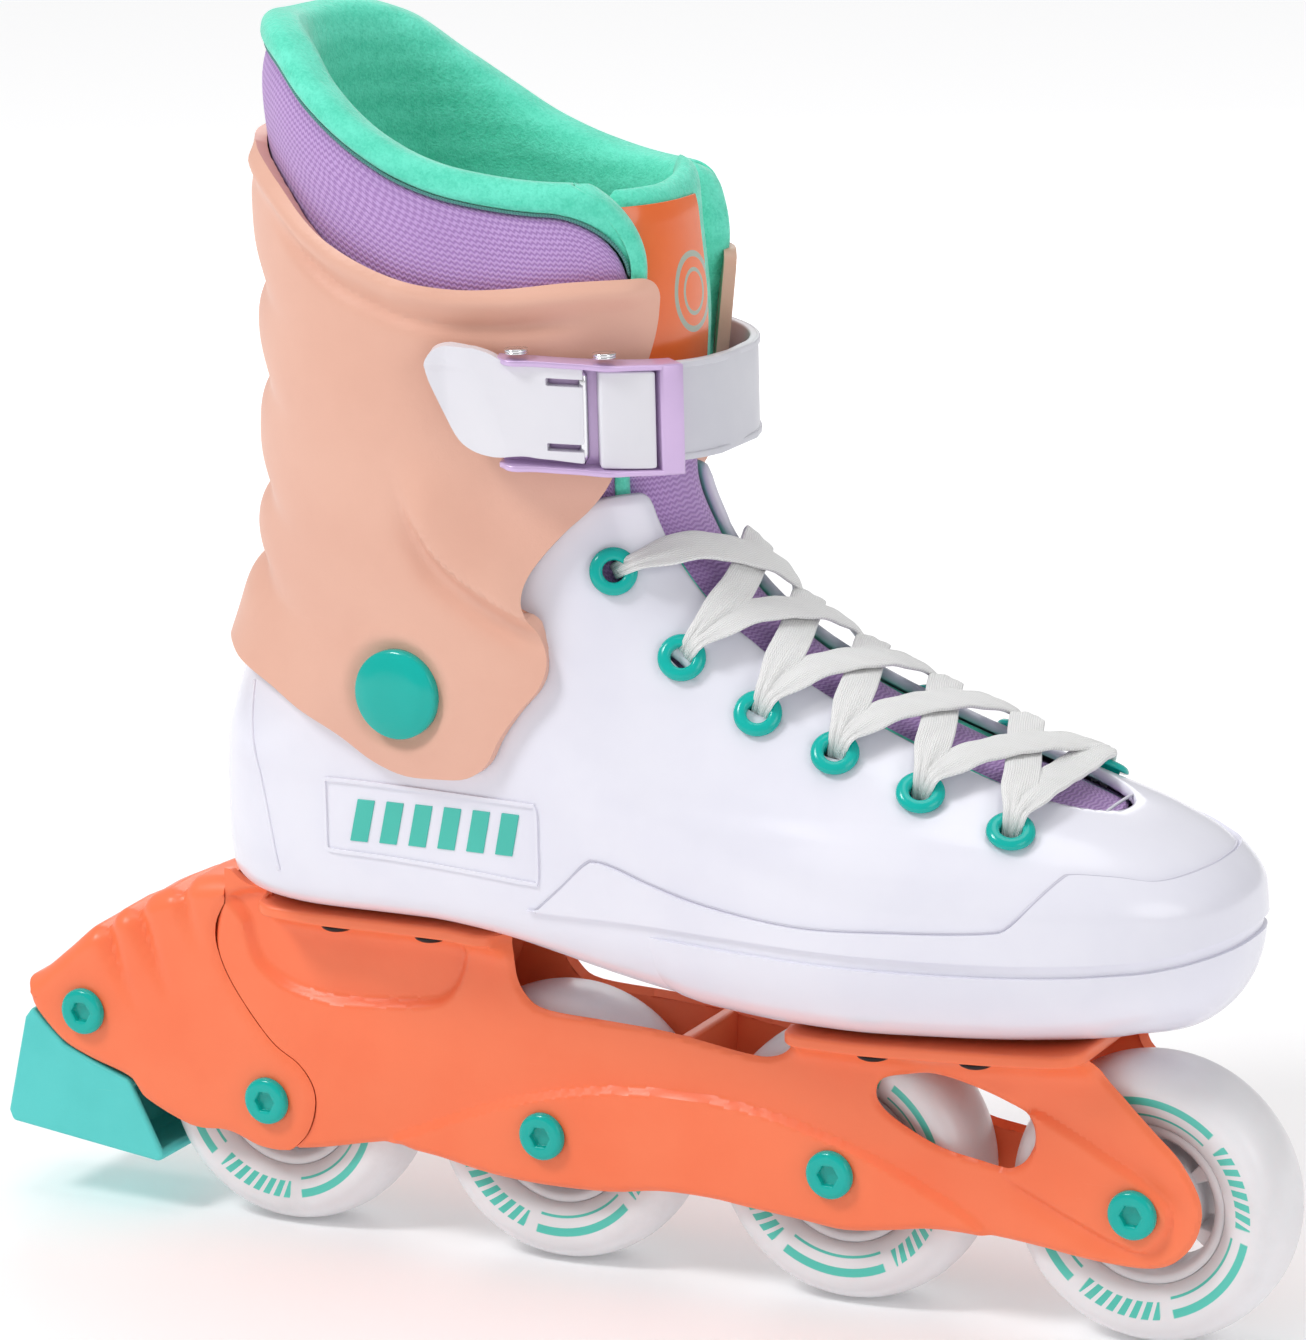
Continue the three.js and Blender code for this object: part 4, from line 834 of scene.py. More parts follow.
def ribbon(line, width, count=6, closed=False):
    """Place function of a narrow band along a line in the side view."""
    mid = rounded(line, count, closed)
    if closed:
        mid = np.concatenate([mid, mid[:1]])
    along = np.gradient(mid, axis=0)
    along /= np.linalg.norm(along, axis=1, keepdims=True) + 1e-9
    length = np.concatenate([[0], np.cumsum(np.linalg.norm(np.diff(mid, axis=0), axis=1))])

    def place(u, v):
        at = u * length[-1]
        x, z = np.interp(at, length, mid[:, 0]), np.interp(at, length, mid[:, 1])
        dx, dz = np.interp(at, length, along[:, 0]), np.interp(at, length, along[:, 1])
        return x - dz * width * (v - 0.5), z + dx * width * (v - 0.5)

    return place, int(length[-1] / 1.6)


# %% Bumper, plate border, bars and heel seam
BUMPER_TOP = rounded([(91, 101), (100, 109), (108, 116.6), (111, 117.4), (116, 116.4), (126, 113.2), (141, 110),
                      (165, 108), (188, 108.8), (203, 109.3), (214, 110), (218, 111.4), (224, 117.5), (228.5, 122),
                      (231, 122.8), (240, 121.8), (248, 120.2), (256, 121), (264, 122)], 5, False)


# width of the darker line of painted shade above the bumper, in millimetres
SHADE_LINE_WIDTH = 0.62


def bumper_top(a):
    top = np.full_like(a, 112.0)
    for _ in range(30):
        top = 0.6 * top + 0.4 * np.interp(on_form(a, top)[..., 0], BUMPER_TOP[:, 0], BUMPER_TOP[:, 1])
    return top


def bumper_place(u, v):
    a = 0.415 + 1.17 * u
    low = seam_height(a) + 0.5
    return off_form(a, low + np.maximum(bumper_top(a) - low, 0.05) * v, -0.5)


def bumper_shade_line_place(u, v):
    """A shallow, darker line just above the bumper: painted shade standing in for the shadow along the bumper's top.
    It keeps its width where the bumper's top is steep.
    """
    a = 0.42 + 1.16 * u
    top = bumper_top(a)
    slope = np.clip(np.abs(bumper_top(a + 0.002) - bumper_top(a - 0.002)) / 0.9, 0, 1.4)
    return off_form(a, top + (v - 0.2) * SHADE_LINE_WIDTH * np.sqrt(1 + slope ** 2), -0.4)


finish_piece(wrapped_sheet(bumper_place, 260, 16, closed=False), "bumper", SHELL, wall=1.7,
             offset=1.0, bevel=0.35)
finish_piece(wrapped_sheet(bumper_shade_line_place, 320, 2, closed=False), "bumper_painted_shade", PAINTED_SHADE,
             wall=SHADE_LINE_WIDTH, offset=1.0)


def crown_shade_line_place(u, v):
    """A shallow, darker line across the crown of the toe that paints the shade at its edge, at one x, found by
    halving the range of z.
    """
    a = 0.80 + 0.40 * u
    low, high = np.full_like(a, 112.0), np.full_like(a, 142.0)
    for _ in range(22):
        mid = (low + high) / 2
        ahead = on_form(a, mid)[..., 0] > 229.0 + 0.6 * v
        low, high = np.where(ahead, mid, low), np.where(ahead, high, mid)
    return off_form(a, (low + high) / 2, -0.4)


finish_piece(wrapped_sheet(crown_shade_line_place, 90, 2, closed=False), "crown_painted_shade", PAINTED_SHADE,
             wall=0.5, offset=1.0)
MOTIF = plastic("motif_print", (0.06, 0.55, 0.45, 1), (0.05, 0.50, 0.41, 1), 0.3, 900, 0.03, 0.6)
place, cells = ribbon([(33.6, 114), (33.6, 121), (33.7, 129.6), (34.6, 130.8), (48, 130.8), (64, 130.6), (80, 130.3),
                       (93, 130), (94.2, 128.8), (94, 119), (93.6, 111), (92.4, 109.8), (76, 110.8), (60, 111.7),
                       (46, 112.2), (35, 112.5)], 1.0, 3, True)
laid_sheet("plate_border", place, (cells, 2), (-1, 1), 0.55, SHELL)
place, cells = ribbon([(9.5, 152), (12, 139), (15.5, 121), (18.5, 105)], 1.0, 5)
laid_sheet("heel_seam", place, (cells, 2), (-1, 1), 0.4, SHELL)
for k in range(6):
    start = 40.5 + 8.3 * k

    def place(u, v):
        return start + 4.9 * u + 2.6 * v, 115.4 + 0.02 * (start - 40) + 10.9 * v

    laid_sheet(f"bar_{k + 1}", place, (4, 8), (-1, 1), 0.3, MOTIF, sink=0.3, bevel=0.12)

# %% [markdown]
# ## Frame
# The frame is an injection-moulded channel: two side walls, joined under the boot by wide flanges that carry
# the rivets, and by one cross rib. Its walls are relieved with pockets, a raised lower panel and soft edges.
# The relief is part of the sheet's own place function, so one grid gives wall, pockets and flared top.

# %% Frame outlines
FRAME_LOW = [(-13, 34), (-11, 26), (-4, 23.5), (4, 23), (16, 24.5), (35, 28), (42, 27), (50, 26), (64, 23.5),
             (80, 22.5), (98, 23), (112, 25), (126, 25), (136, 24), (152, 22.5), (163, 21.5), (175, 23),
             (189, 25), (213, 24), (223, 23), (234, 22), (243, 22), (250, 24.5), (255.5, 31), (257, 40), (252, 50),
             (245, 57), (238, 64), (231, 72), (229, 84)]
FRAME_DIP = [(150, 84), (150, 73), (149, 67), (144, 64), (136, 64), (116, 67), (100, 68), (82, 69), (76, 72),
             (73, 78), (73, 88)]
frame_outline = np.concatenate([rounded(FRAME_LOW, 4, False), [(229, 99), (150, 99)], rounded(FRAME_DIP, 4, False),
                                [(73, 100), (-12, 100), (-13, 86)],
                                rounded([(-14, 82), (-15, 70), (-13, 50)], 4, False)])
WINDOW = rounded([(172, 58), (174, 62), (181, 64), (188, 65), (198, 63), (207, 60), (213, 56), (214, 52), (212, 46),
                  (207, 43), (200, 44), (189, 46), (180, 50), (174, 54)], 4)
SEAM = rounded([(6, 22.8), (11, 28), (13.5, 35), (13, 41), (9, 46.5), (2, 51), (-5, 59), (-11, 68), (-14, 76),
                (-14, 82), (-11, 88)], 4, False)
BRACKET_LOW = [(-72, 58), (-71, 54), (-68, 50), (-62, 44.5), (-54, 41), (-42, 37), (-38, 32), (-24, 26), (-13, 26),
               (-4, 23), (2, 22.4)]
BRACKET_TOP = [(-74, 60), (-71, 61.5), (-62, 68.5), (-53, 76), (-42, 82.5), (-30, 88.5), (-19, 93), (-12, 94),
               (14, 96)]
bracket_outline = np.concatenate([rounded(BRACKET_LOW, 4, False), SEAM,
                                  [(-11, 99), (-40, 92), (-76, 68), (-73.5, 60)]])
WALL_Y, TAB_Y, FLANGE_HALF = 16.2, 14.2, 27.0      # outer faces of the walls and tabs, half width of the flanges
HEEL_POCKET = rounded([(-6, 92), (-6, 83), (-3, 73), (5, 67), (15, 64.5), (24, 64), (46, 66), (54, 69), (58.5, 76),
                       (60, 84), (60, 96)], 4)
LOW_PANEL = np.concatenate([rounded([(30, 24), (36, 29), (45, 33), (59, 39), (73, 44), (84, 47), (97, 49.5),
                                     (109, 50.5), (119, 51), (133, 50), (146, 48), (157, 45), (164, 43), (175, 39),
                                     (186, 34), (197, 28), (204, 20)], 4, False), [(120, 5)]])
STRUT = rounded([(213, 58), (223, 54), (234, 48), (241, 44), (249, 36), (243, 27), (236, 27.5), (227, 31), (216, 36),
                 (205, 42), (214, 49)], 4)


def frame_keep(p):
    d = np.minimum(side_distance(frame_outline, p), -side_distance(WINDOW, p))
    d = np.minimum(d, -side_distance(bracket_outline, p) - 0.12)
    return np.minimum(d, keel_z(p[..., 0]) - 0.6 - p[..., 2])


def frame_relief(p):
    x, z = p[..., 0], p[..., 2]
    edge = np.minimum(side_distance(frame_outline, p), -side_distance(WINDOW, p))
    soft = 1 - np.sqrt(np.clip(1 - np.clip(1 - edge / 2.2, 0, 1) ** 2, 0, 1))
    out = -1.1 * soft
    out = out - 2.2 * ramp(-0.6, 2.2, side_distance(HEEL_POCKET, p))
    panel = side_distance(LOW_PANEL, p)
    out = out - 1.9 * ramp(0.9, -1.3, panel) * np.exp(-(np.clip(-panel, 0, 99) / 13) ** 2)
    strut = side_distance(STRUT, p)
    out = out - 1.6 * ramp(0.9, -1.1, strut) * np.exp(-(np.clip(-strut, 0, 99) / 5) ** 2) * ramp(200, 212, x)
    flange = ramp(1, 4, x) * ramp(74, 70, x) + ramp(149, 153, x) * ramp(233, 228, x)
    rise = np.clip(1 - (keel_z(x) - 3.6 - z) / 8.5, 0, 1)
    return out + 8 * rise ** 2.4 * flange


def wall_place(side, level_y=WALL_Y, relief=frame_relief, box=(-16, 258, 20, 97)):
    x0, x1, z0, z1 = box

    def place(u, v):
        u = u
        x = x0 + (x1 - x0) * (u if side < 0 else 1 - u)
        z = z0 + (z1 - z0) * v
        p = np.stack([x, np.zeros_like(x), z], -1)
        y = side * (level_y + (relief(p) if relief else 0.0 * x))
        return np.stack([x, y, z], -1)

    return place


def tab_keep(p):
    """The tab inside the brake arm: the part of the wall that the arm covers, below the boot."""
    low = np.minimum(side_distance(frame_outline, p), 94 - p[..., 2])
    return np.minimum(low, side_distance(bracket_outline, p) + 1.5)


for side, label in ((-1, "outer"), (1, "inner")):
    bm = wrapped_sheet(wall_place(side), 330, 92, frame_keep, closed=False)
    finish_piece(bm, f"frame_wall_{label}", FRAME, replaces=["frame"], wall=2.4, bevel=0.35)
    bm = wrapped_sheet(wall_place(side, TAB_Y, None, (-17, 16, 20, 100)), 22, 50, tab_keep, closed=False)
    finish_piece(bm, f"frame_tab_{label}", FRAME, replaces=["frame"], wall=1.5, bevel=0.2)


# %% Flanges and rib
def flange_place(x0, x1):
    def place(u, v):
        x = x0 + (x1 - x0) * u
        y = -FLANGE_HALF + 2 * FLANGE_HALF * v
        return np.stack([x, y, keel_z(x) - 0.35 + 0.0 * y], -1)

    return place


def round_box(x0, x1, half, corner):
    def keep(p):
        dx = np.maximum(x0 + corner - p[..., 0], p[..., 0] - x1 + corner)
        dy = np.abs(p[..., 1]) - half + corner
        return corner - np.where((dx > 0) & (dy > 0), np.hypot(dx, dy), np.maximum(dx, dy))

    return keep


for label, x0, x1 in (("rear", 3, 71.5), ("front", 151, 230)):
    bm = wrapped_sheet(flange_place(x0, x1), 34, 26, round_box(x0, x1, FLANGE_HALF, 6), closed=False)
    finish_piece(bm, f"flange_{label}", FRAME, replaces=["frame"], wall=3.2, bevel=0.9)
rib = bmesh.new()
bmesh.ops.create_cube(rib, size=1)
bmesh.ops.scale(rib, vec=(3.4, 27, 12), verts=rib.verts)
bmesh.ops.bevel(rib, geom=rib.edges[:], offset=0.7, affect="EDGES", segments=2, profile=0.5, material=-1)
bmesh.ops.translate(rib, vec=(119.5, 0, 60), verts=rib.verts)
finish_piece(rib, "cross_rib", FRAME, replaces=["frame"], smooth=False)

# %% [markdown]
# ## Brake
# The brake arm is a channel that caps the back of the frame and holds the rubber pad. It wraps over the top in
# one surface, so it is one sheet that runs up one side, over, and down the other, with grooves pressed across.

# %% Bracket
GROOVES = [((-52, 84), (-48.5, 77.5), (-44.5, 66), (-38.5, 54)), ((-42, 90), (-38.5, 82), (-34, 71), (-28, 58)),
           ((-27, 95), (-24.5, 88), (-21.5, 80), (-18.5, 72))]


ARM_HALF, ARM_ROUND = 17.1, 5.5            # half the arm's width, and the radius along its top edges
FLAT, TURNED = 0.7, 0.88                   # shares of half the sheet where the side ends and the top begins


def bracket_place(u, v):
    x = -73.5 + 88 * u
    low = np.interp(x, [q[0] for q in BRACKET_LOW] + [15], [q[1] for q in BRACKET_LOW] + [22]) - 2.5
    top = curve([q[0] for q in BRACKET_TOP], [q[1] for q in BRACKET_TOP], x)
    m = 2 * np.minimum(v, 1 - v)
    r = ARM_ROUND
    turn = np.clip((m - FLAT) / 0.18, 0, 1) * math.pi / 2
    y = np.where(m < TURNED, ARM_HALF - r + r * np.cos(turn), (ARM_HALF - r) * (1 - (m - TURNED) / 0.12))
    z = np.where(m < FLAT, low + (top - r - low) * m / FLAT, top - r + r * np.sin(turn))
    z = z + 0.9 * np.clip((m - 0.8) / 0.2, 0, 1)
    side = np.where(v < 0.5, -1.0, 1.0)
    p = np.stack([x, side * y, z], -1)
    cut = np.zeros_like(x)
    for line in GROOVES:
        line = np.array(line)
        near = side_distance(np.concatenate([line, line[::-1] + (0.15, 0)]), p)
        along = np.clip((p[..., 2] - line[-1, 1]) / 22, 0, 1)
        cut = np.maximum(cut, np.exp(-(near / (1.3 + 1.2 * along)) ** 2) * along)
        on_top = np.exp(-((x - np.interp(z, line[::-1, 1], line[::-1, 0])) / 2.6) ** 2)
        cut = np.maximum(cut, np.where(m > 0.8, on_top, 0))
    edge = side_distance(bracket_outline, p)
    soft = 1 - np.sqrt(np.clip(1 - np.clip(1 - edge / 1.6, 0, 1) ** 2, 0, 1))
    depth = 2.7 * cut + 0.7 * soft * (m < 0.72)
    inward = np.stack([np.zeros_like(x), -side * np.cos(turn), -np.sin(turn)], -1)
    return p + inward * depth[..., None]


bm = wrapped_sheet(bracket_place, 66, 96, lambda p: side_distance(bracket_outline, p), closed=False)
finish_piece(bm, "brake_arm", FRAME, replaces=["brake_bracket"], wall=2.5, bevel=0.3)

# %% Brake pad, hollow at the front
PAD_SIDE = [(-77, 38), (-80.6, 23.5), (-79.6, 20.6), (-34.6, 14.6), (-33, 15.8), (-42.6, 36.0), (-54, 40.2),
            (-62.3, 43.8), (-68.3, 49.4), (-71.6, 53.0), (-74, 50)]
pad_bm = bmesh.new()
side_face = pad_bm.faces.new([pad_bm.verts.new((x, -17, z)) for x, z in PAD_SIDE])
pushed = bmesh.ops.extrude_face_region(pad_bm, geom=[side_face])
bmesh.ops.translate(pad_bm, vec=(0, 34, 0), verts=[e for e in pushed["geom"] if isinstance(e, bmesh.types.BMVert)])
bmesh.ops.recalc_face_normals(pad_bm, faces=pad_bm.faces)
front = max((f for f in pad_bm.faces if len(f.verts) == 4 and f.normal.x > 0.5), key=lambda f: f.calc_area())
bmesh.ops.inset_individual(pad_bm, faces=[front], thickness=3.2)
hole = bmesh.ops.extrude_discrete_faces(pad_bm, faces=[front])["faces"]
inner = bmesh.ops.extrude_face_region(pad_bm, geom=hole)
moved = [e for e in inner["geom"] if isinstance(e, bmesh.types.BMVert)]
bmesh.ops.translate(pad_bm, vec=(-17, 0, -2.2), verts=moved)
bmesh.ops.delete(pad_bm, geom=hole, context="FACES_ONLY")
bmesh.ops.remove_doubles(pad_bm, verts=pad_bm.verts, dist=0.01)
bmesh.ops.recalc_face_normals(pad_bm, faces=pad_bm.faces)
finish_piece(pad_bm, "brake_block", PAD, replaces=["brake_pad"], bevel=1.1, smooth=True)

# %% [markdown]
# ## Turned parts
# Bolts, rivets, pivots, bearings and wheels are all turned, so one lathe helper serves them: a profile of
# radius and depth is spun about the Y or Z axis. The socket of a bolt is turned round as well, and its rings
# are then moved out to a hexagon.

# %% Lathe
def lathe(profile, centre, axis="Y", steps=48, outward=-1.0, hexagon=None):
    """profile: (radius, depth) pairs; depth runs inwards from centre, and outward is the side it faces."""
    bm = bmesh.new()
    verts = []
    for r, depth in profile:
        t = -outward * depth
        verts.append(bm.verts.new((r, t, 0) if axis == "Y" else (r, 0, t)))
    edges = [bm.edges.new(pair) for pair in zip(verts, verts[1:])]
    bmesh.ops.spin(bm, geom=verts + edges, cent=(0, 0, 0), axis=(0, 1, 0) if axis == "Y" else (0, 0, 1),
                   angle=2 * math.pi, steps=steps, use_merge=True, use_duplicate=False)
    bmesh.ops.remove_doubles(bm, verts=bm.verts, dist=0.003)
    if hexagon:
        for v in bm.verts:
            r = math.hypot(v.co.x, v.co.z)
            if 0.05 < r < hexagon[0]:
                angle = math.degrees(math.atan2(v.co.z, v.co.x)) % 60
                scale = hexagon[1] / math.cos(math.radians(angle - 30)) / r
                v.co.x, v.co.z = v.co.x * scale, v.co.z * scale
    bmesh.ops.recalc_face_normals(bm, faces=bm.faces)
    bmesh.ops.translate(bm, vec=centre, verts=bm.verts)
    return bm


def node_box(name):
    """A CAD node's corners in skate millimetres."""
    lo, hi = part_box(name)
    return np.array(lo) / MM + ORIGIN, np.array(hi) / MM + ORIGIN


def join(parts):
    """One bmesh from several."""
    out = bmesh.new()
    for part in parts:
        data = bpy.data.meshes.new("part")
        part.to_mesh(data)
        part.free()
        out.from_mesh(data)
        bpy.data.meshes.remove(data)
    return out


HEAD = [(0, 2.0), (2.89, 2.0), (2.89, 0.35), (3.25, 0.05), (4.7, 0.0), (5.55, 0.2), (6.05, 0.75), (6.2, 1.4),
        (6.2, 2.2), (4.2, 2.2)]


def bolt(name, centre, half, shaft, replaces):
    """A through bolt: a button head with a hexagon socket at each end, on a plain shaft."""
    parts = []
    for outward in (-1, 1):
        profile = HEAD + [(shaft, 2.25), (shaft, half)]
        at = (centre[0], outward * half, centre[1])
        parts.append(lathe(profile, at, "Y", 48, outward, hexagon=(3.0, 2.5)))
    bm = join(parts)
    bmesh.ops.remove_doubles(bm, verts=bm.verts, dist=0.004)
    return finish_piece(bm, name, TEAL, replaces=replaces, bevel=0.12)


# %% Bolts, pivots and rivets
for n in range(4):
    lo, hi = node_box(f"wheel_{n + 1}_axle")
    bolt(f"axle_bolt_{n + 1}", ((lo[0] + hi[0]) / 2, (lo[2] + hi[2]) / 2), hi[1], 3.95, [f"wheel_{n + 1}_axle"])
lo, hi = node_box("brake_bolt")
bolt("brake_arm_bolt", ((lo[0] + hi[0]) / 2, (lo[2] + hi[2]) / 2), hi[1], 2.95, ["brake_bolt"])
DOME = [(0, 0), (3.5, 0.08), (6.5, 0.32), (8.6, 0.75), (9.7, 1.25), (10.4, 1.5), (10.95, 1.75), (11.25, 2.3),
        (11.25, 4.6), (10.9, 5.0), (5.2, 5.0), (5.0, 5.2), (5.0, 9.0), (0, 9.0)]
for label, outward in (("lateral", -1), ("medial", 1)):
    lo, hi = node_box(f"cuff_pivot_{label}")
    y = lo[1] if outward < 0 else hi[1]
    print("pivot", label, [round(float(v), 1) for v in (*lo, *hi)])
    bm = lathe(DOME, (PIVOT_X, y, PIVOT_Z), "Y", 64, outward)
    finish_piece(bm, f"cuff_hinge_{label}", TEAL, replaces=[f"cuff_pivot_{label}"])
for k in range(1, 9):
    lo, hi = node_box(f"mount_rivet_{k}")
    r = (hi[0] - lo[0]) / 2
    tall = hi[2] - lo[2]
    profile = [(0, 0), (r * 0.35, 0.08), (r * 0.7, 0.45), (r * 0.93, 1.0), (r, 1.5), (r, min(2.0, tall - 0.1)),
               (r * 0.55, min(2.1, tall - 0.05)), (r * 0.55, tall), (0, tall)]
    bm = lathe(profile, ((lo[0] + hi[0]) / 2, (lo[1] + hi[1]) / 2, lo[2]), "Z", 32, -1)
    finish_piece(bm, f"rivet_{k}", BLACK, replaces=[f"mount_rivet_{k}"])

# %% [markdown]
# ## Wheels
# Each wheel is a cast urethane tyre on a spoked white hub with two bearings. The urethane lets light in a
# little way, and carries two printed rings and a run of slanted dashes, three times round. The print is drawn
# from a UV map that holds the angle in U and the radius, in tens of millimetres, in V.

# %% Urethane with its print
def make_urethane():
    m, tree, shader = new_material("urethane_printed", Subsurface_Weight=0.35, Subsurface_Scale=0.006,
                                   Coat_Weight=0.15, Coat_Roughness=0.2)
    shader.inputs["Subsurface Radius"].default_value = (1.0, 0.8, 0.8)
    g, w = place_group(tree, GRAIN, Size=600.0), place_group(tree, WEAR, Amount=0.7)
    uv = node(tree, "ShaderNodeUVMap")
    uv.uv_map = "UVMap"
    split = node(tree, "ShaderNodeSeparateXYZ", [("Vector", uv.outputs[0])])
    turn, radius = split.outputs["X"], math_node(tree, "MULTIPLY", split.outputs["Y"], 10.0)
    sector = math_node(tree, "FRACT", math_node(tree, "MULTIPLY", turn, 3.0))

    def between(value, low, high, soft):
        a = spread(tree, value, low - soft, low + soft)
        b = spread(tree, value, high - soft, high + soft, 1.0, 0.0)
        return math_node(tree, "MULTIPLY", a, b)

    thick = between(radius, 26.1, 28.2, 0.12)
    thin = between(radius, 23.1, 23.75, 0.1)
    rings = math_node(tree, "MULTIPLY", math_node(tree, "MAXIMUM", thick, thin), between(sector, 0.46, 0.96, 0.004))
    slant = math_node(tree, "MULTIPLY_ADD", radius, 0.11, math_node(tree, "MULTIPLY", sector, 19.0))
    dash = math_node(tree, "LESS_THAN", math_node(tree, "FRACT", slant), 0.62)
    dash = math_node(tree, "MULTIPLY", dash, between(radius, 24.0, 28.2, 0.12))
    dash = math_node(tree, "MULTIPLY", dash, between(sector, 0.02, 0.40, 0.004))
    ink = math_node(tree, "MAXIMUM", rings, dash)
    worn = spread(tree, g.outputs["Cloud"], 0.30, 0.42, 0.75, 1.0)
    ink = math_node(tree, "MULTIPLY", ink, worn)
    cloud = spread(tree, g.outputs["Cloud"], 0.35, 0.7)
    base = blend_colour(tree, cloud, (0.86, 0.85, 0.87, 1), (0.80, 0.78, 0.80, 1))
    base = blend_colour(tree, w.outputs["Scuff"], base, (0.70, 0.69, 0.70, 1))
    base = blend_colour(tree, ink, base, (0.10, 0.60, 0.50, 1))
    tree.links.new(base, shader.inputs["Base Color"])
    r = math_node(tree, "MULTIPLY_ADD", w.outputs["Scuff"], 0.2, 0.34)
    tree.links.new(r, shader.inputs["Roughness"])
    bump(tree, shader, math_node(tree, "MULTIPLY_ADD", w.outputs["Scratch"], -2.0, g.outputs["Height"]), 0.06, 0.0004)
    return m


URETHANE = make_urethane()
print("tyre material:", URETHANE.name)

# %% Wheels
TYRE = [(20.3, 7.6), (20.5, 8.4), (21.5, 9.3), (23.3, 10.3), (25.5, 11.2), (27.8, 11.8), (29.6, 11.95), (31.2, 11.6),
        (32.8, 10.6), (34.2, 8.8), (35.2, 6.4), (35.8, 3.4), (36.0, 0.0)]
tyre_profile = rounded(TYRE, 2, False)
tyre_profile = np.concatenate([tyre_profile, (tyre_profile[:-1] * (1, -1))[::-1]])
tyre_profile = np.concatenate([tyre_profile, tyre_profile[:1]])
HUB_RIM = [(20.2, 7.9), (20.0, 8.0), (19.2, 8.1), (18.3, 8.0), (17.9, 7.6), (17.2, 6.6), (16.9, 5.0), (16.9, -5.0),
           (17.2, -6.6), (17.9, -7.6), (18.3, -8.0), (19.2, -8.1), (20.0, -8.0), (20.2, -7.9), (20.2, 7.9)]
BOSS = [(11.05, 8.1), (12.0, 8.2), (13.1, 8.0), (13.5, 7.5), (13.5, -7.5), (13.1, -8.0), (12.0, -8.2), (11.05, -8.1),
        (11.05, 8.1)]
BEARING = [(11, 0.5), (10.8, 0.1), (10.5, 0.0), (9.7, 0.0), (9.5, 0.25), (9.4, 0.55), (9.1, 0.5), (6.2, 0.4),
           (5.9, 0.55), (5.8, 0.2), (5.6, 0.0), (4.4, 0.0), (4.1, 0.2), (4.0, 0.6), (4.0, 6.6), (4.4, 7.0),
           (10.7, 7.0), (11, 6.6), (11, 0.5)]
PRINT_TURN = [0.37, 0.10, 0.83, 0.02]              # how far each wheel's print is turned, in whole turns
SPOKES = 6


def wheel(number, body):
    lo, hi = node_box(f"{body}_tyre")
    x, z = (lo[0] + hi[0]) / 2, (lo[2] + hi[2]) / 2
    tyre = lathe(tyre_profile, (0, 0, 0), "Y", 96)
    layer = tyre.loops.layers.uv.new("UVMap")
    for f in tyre.faces:
        c = f.calc_center_median()
        mid = math.atan2(c.z, c.x)
        for loop in f.loops:
            co = loop.vert.co
            a = math.atan2(co.z, co.x)
            a += 2 * math.pi * round((mid - a) / (2 * math.pi))
            share = (a / (2 * math.pi) + PRINT_TURN[number - 1]) * (1 if c.y < 0 else -1)
            loop[layer].uv = (share, math.hypot(co.x, co.z) / 10)
    bmesh.ops.translate(tyre, vec=(x, 0, z), verts=tyre.verts)
    finish_piece(tyre, f"tyre_{number}", URETHANE, body, [f"{body}_tyre"])
    parts = [lathe(HUB_RIM, (0, 0, 0), "Y", 72), lathe(BOSS, (0, 0, 0), "Y", 64)]
    for k in range(SPOKES):
        spoke = bmesh.new()
        bmesh.ops.create_cube(spoke, size=1)
        bmesh.ops.scale(spoke, vec=(5.2, 11.5, 2.6), verts=spoke.verts)
        for v in spoke.verts:
            if v.co.x > 0:
                v.co.z *= 1.9
                v.co.y *= 0.92
        bmesh.ops.bevel(spoke, geom=spoke.edges[:], offset=0.5, affect="EDGES", segments=2, profile=0.5, material=-1)
        bmesh.ops.translate(spoke, vec=(15.1, 0, 0), verts=spoke.verts)
        turn = math.radians(360 / SPOKES * k + 20 + 17 * number)
        bmesh.ops.rotate(spoke, cent=(0, 0, 0), matrix=Matrix.Rotation(turn, 3, "Y"), verts=spoke.verts)
        parts.append(spoke)
    hub = join(parts)
    bmesh.ops.translate(hub, vec=(x, 0, z), verts=hub.verts)
    finish_piece(hub, f"hub_{number}", HUB, body, [f"{body}_hub"])
    for label in ("left", "right"):
        name = f"{body}_bearing_{label}"
        lo, hi = node_box(name)
        outward = -1 if (lo[1] + hi[1]) < 0 else 1
        y = lo[1] if outward < 0 else hi[1]
        finish_piece(lathe(BEARING, (x, y, z), "Y", 56, outward), f"bearing_{number}_{label}", STEEL, body,
                     [name])


for number in range(1, 5):
    wheel(number, f"wheel_{number}")

# %% [markdown]
# ## Fabrics
# The liner is a foam sandwich with a knitted face, mint terry in the collar and lining, and a sewn seam
# between them. The knit is zig-zag rows drawn from the sheet's own UV map, in millimetres, so that the rows
# follow the piece. The terry is a short pile: fine noise in bump and colour, with a soft sheen.

# %% Fabric materials
def knit(name, light, dark, row=1.25, stitch=1.5, strength=0.5):
    m, tree, shader = new_material(name, Sheen_Weight=0.25, Sheen_Roughness=0.5)
    uv = node(tree, "ShaderNodeUVMap")
    uv.uv_map = "UVMap"
    split = node(tree, "ShaderNodeSeparateXYZ", [("Vector", uv.outputs[0])])
    across = math_node(tree, "PINGPONG", math_node(tree, "DIVIDE", split.outputs["X"], stitch), 0.5)
    rows = math_node(tree, "MULTIPLY_ADD", across, 0.9, math_node(tree, "DIVIDE", split.outputs["Y"], row))
    wave = math_node(tree, "SINE", math_node(tree, "MULTIPLY", rows, 2 * math.pi))
    wave = spread(tree, wave, -1.0, 1.0)
    g = place_group(tree, GRAIN, Size=2600.0)
    fuzz = math_node(tree, "MULTIPLY_ADD", g.outputs["Height"], 0.6, math_node(tree, "MULTIPLY", wave, 0.7))
    base = blend_colour(tree, spread(tree, fuzz, 0.25, 0.95), dark, light)
    base = blend_colour(tree, spread(tree, g.outputs["Cloud"], 0.4, 0.75, 0.0, 0.25), base, dark)
    tree.links.new(base, shader.inputs["Base Color"])
    tree.links.new(math_node(tree, "MULTIPLY_ADD", g.outputs["Height"], 0.2, 0.68), shader.inputs["Roughness"])
    bump(tree, shader, fuzz, strength, 0.0006)
    return m


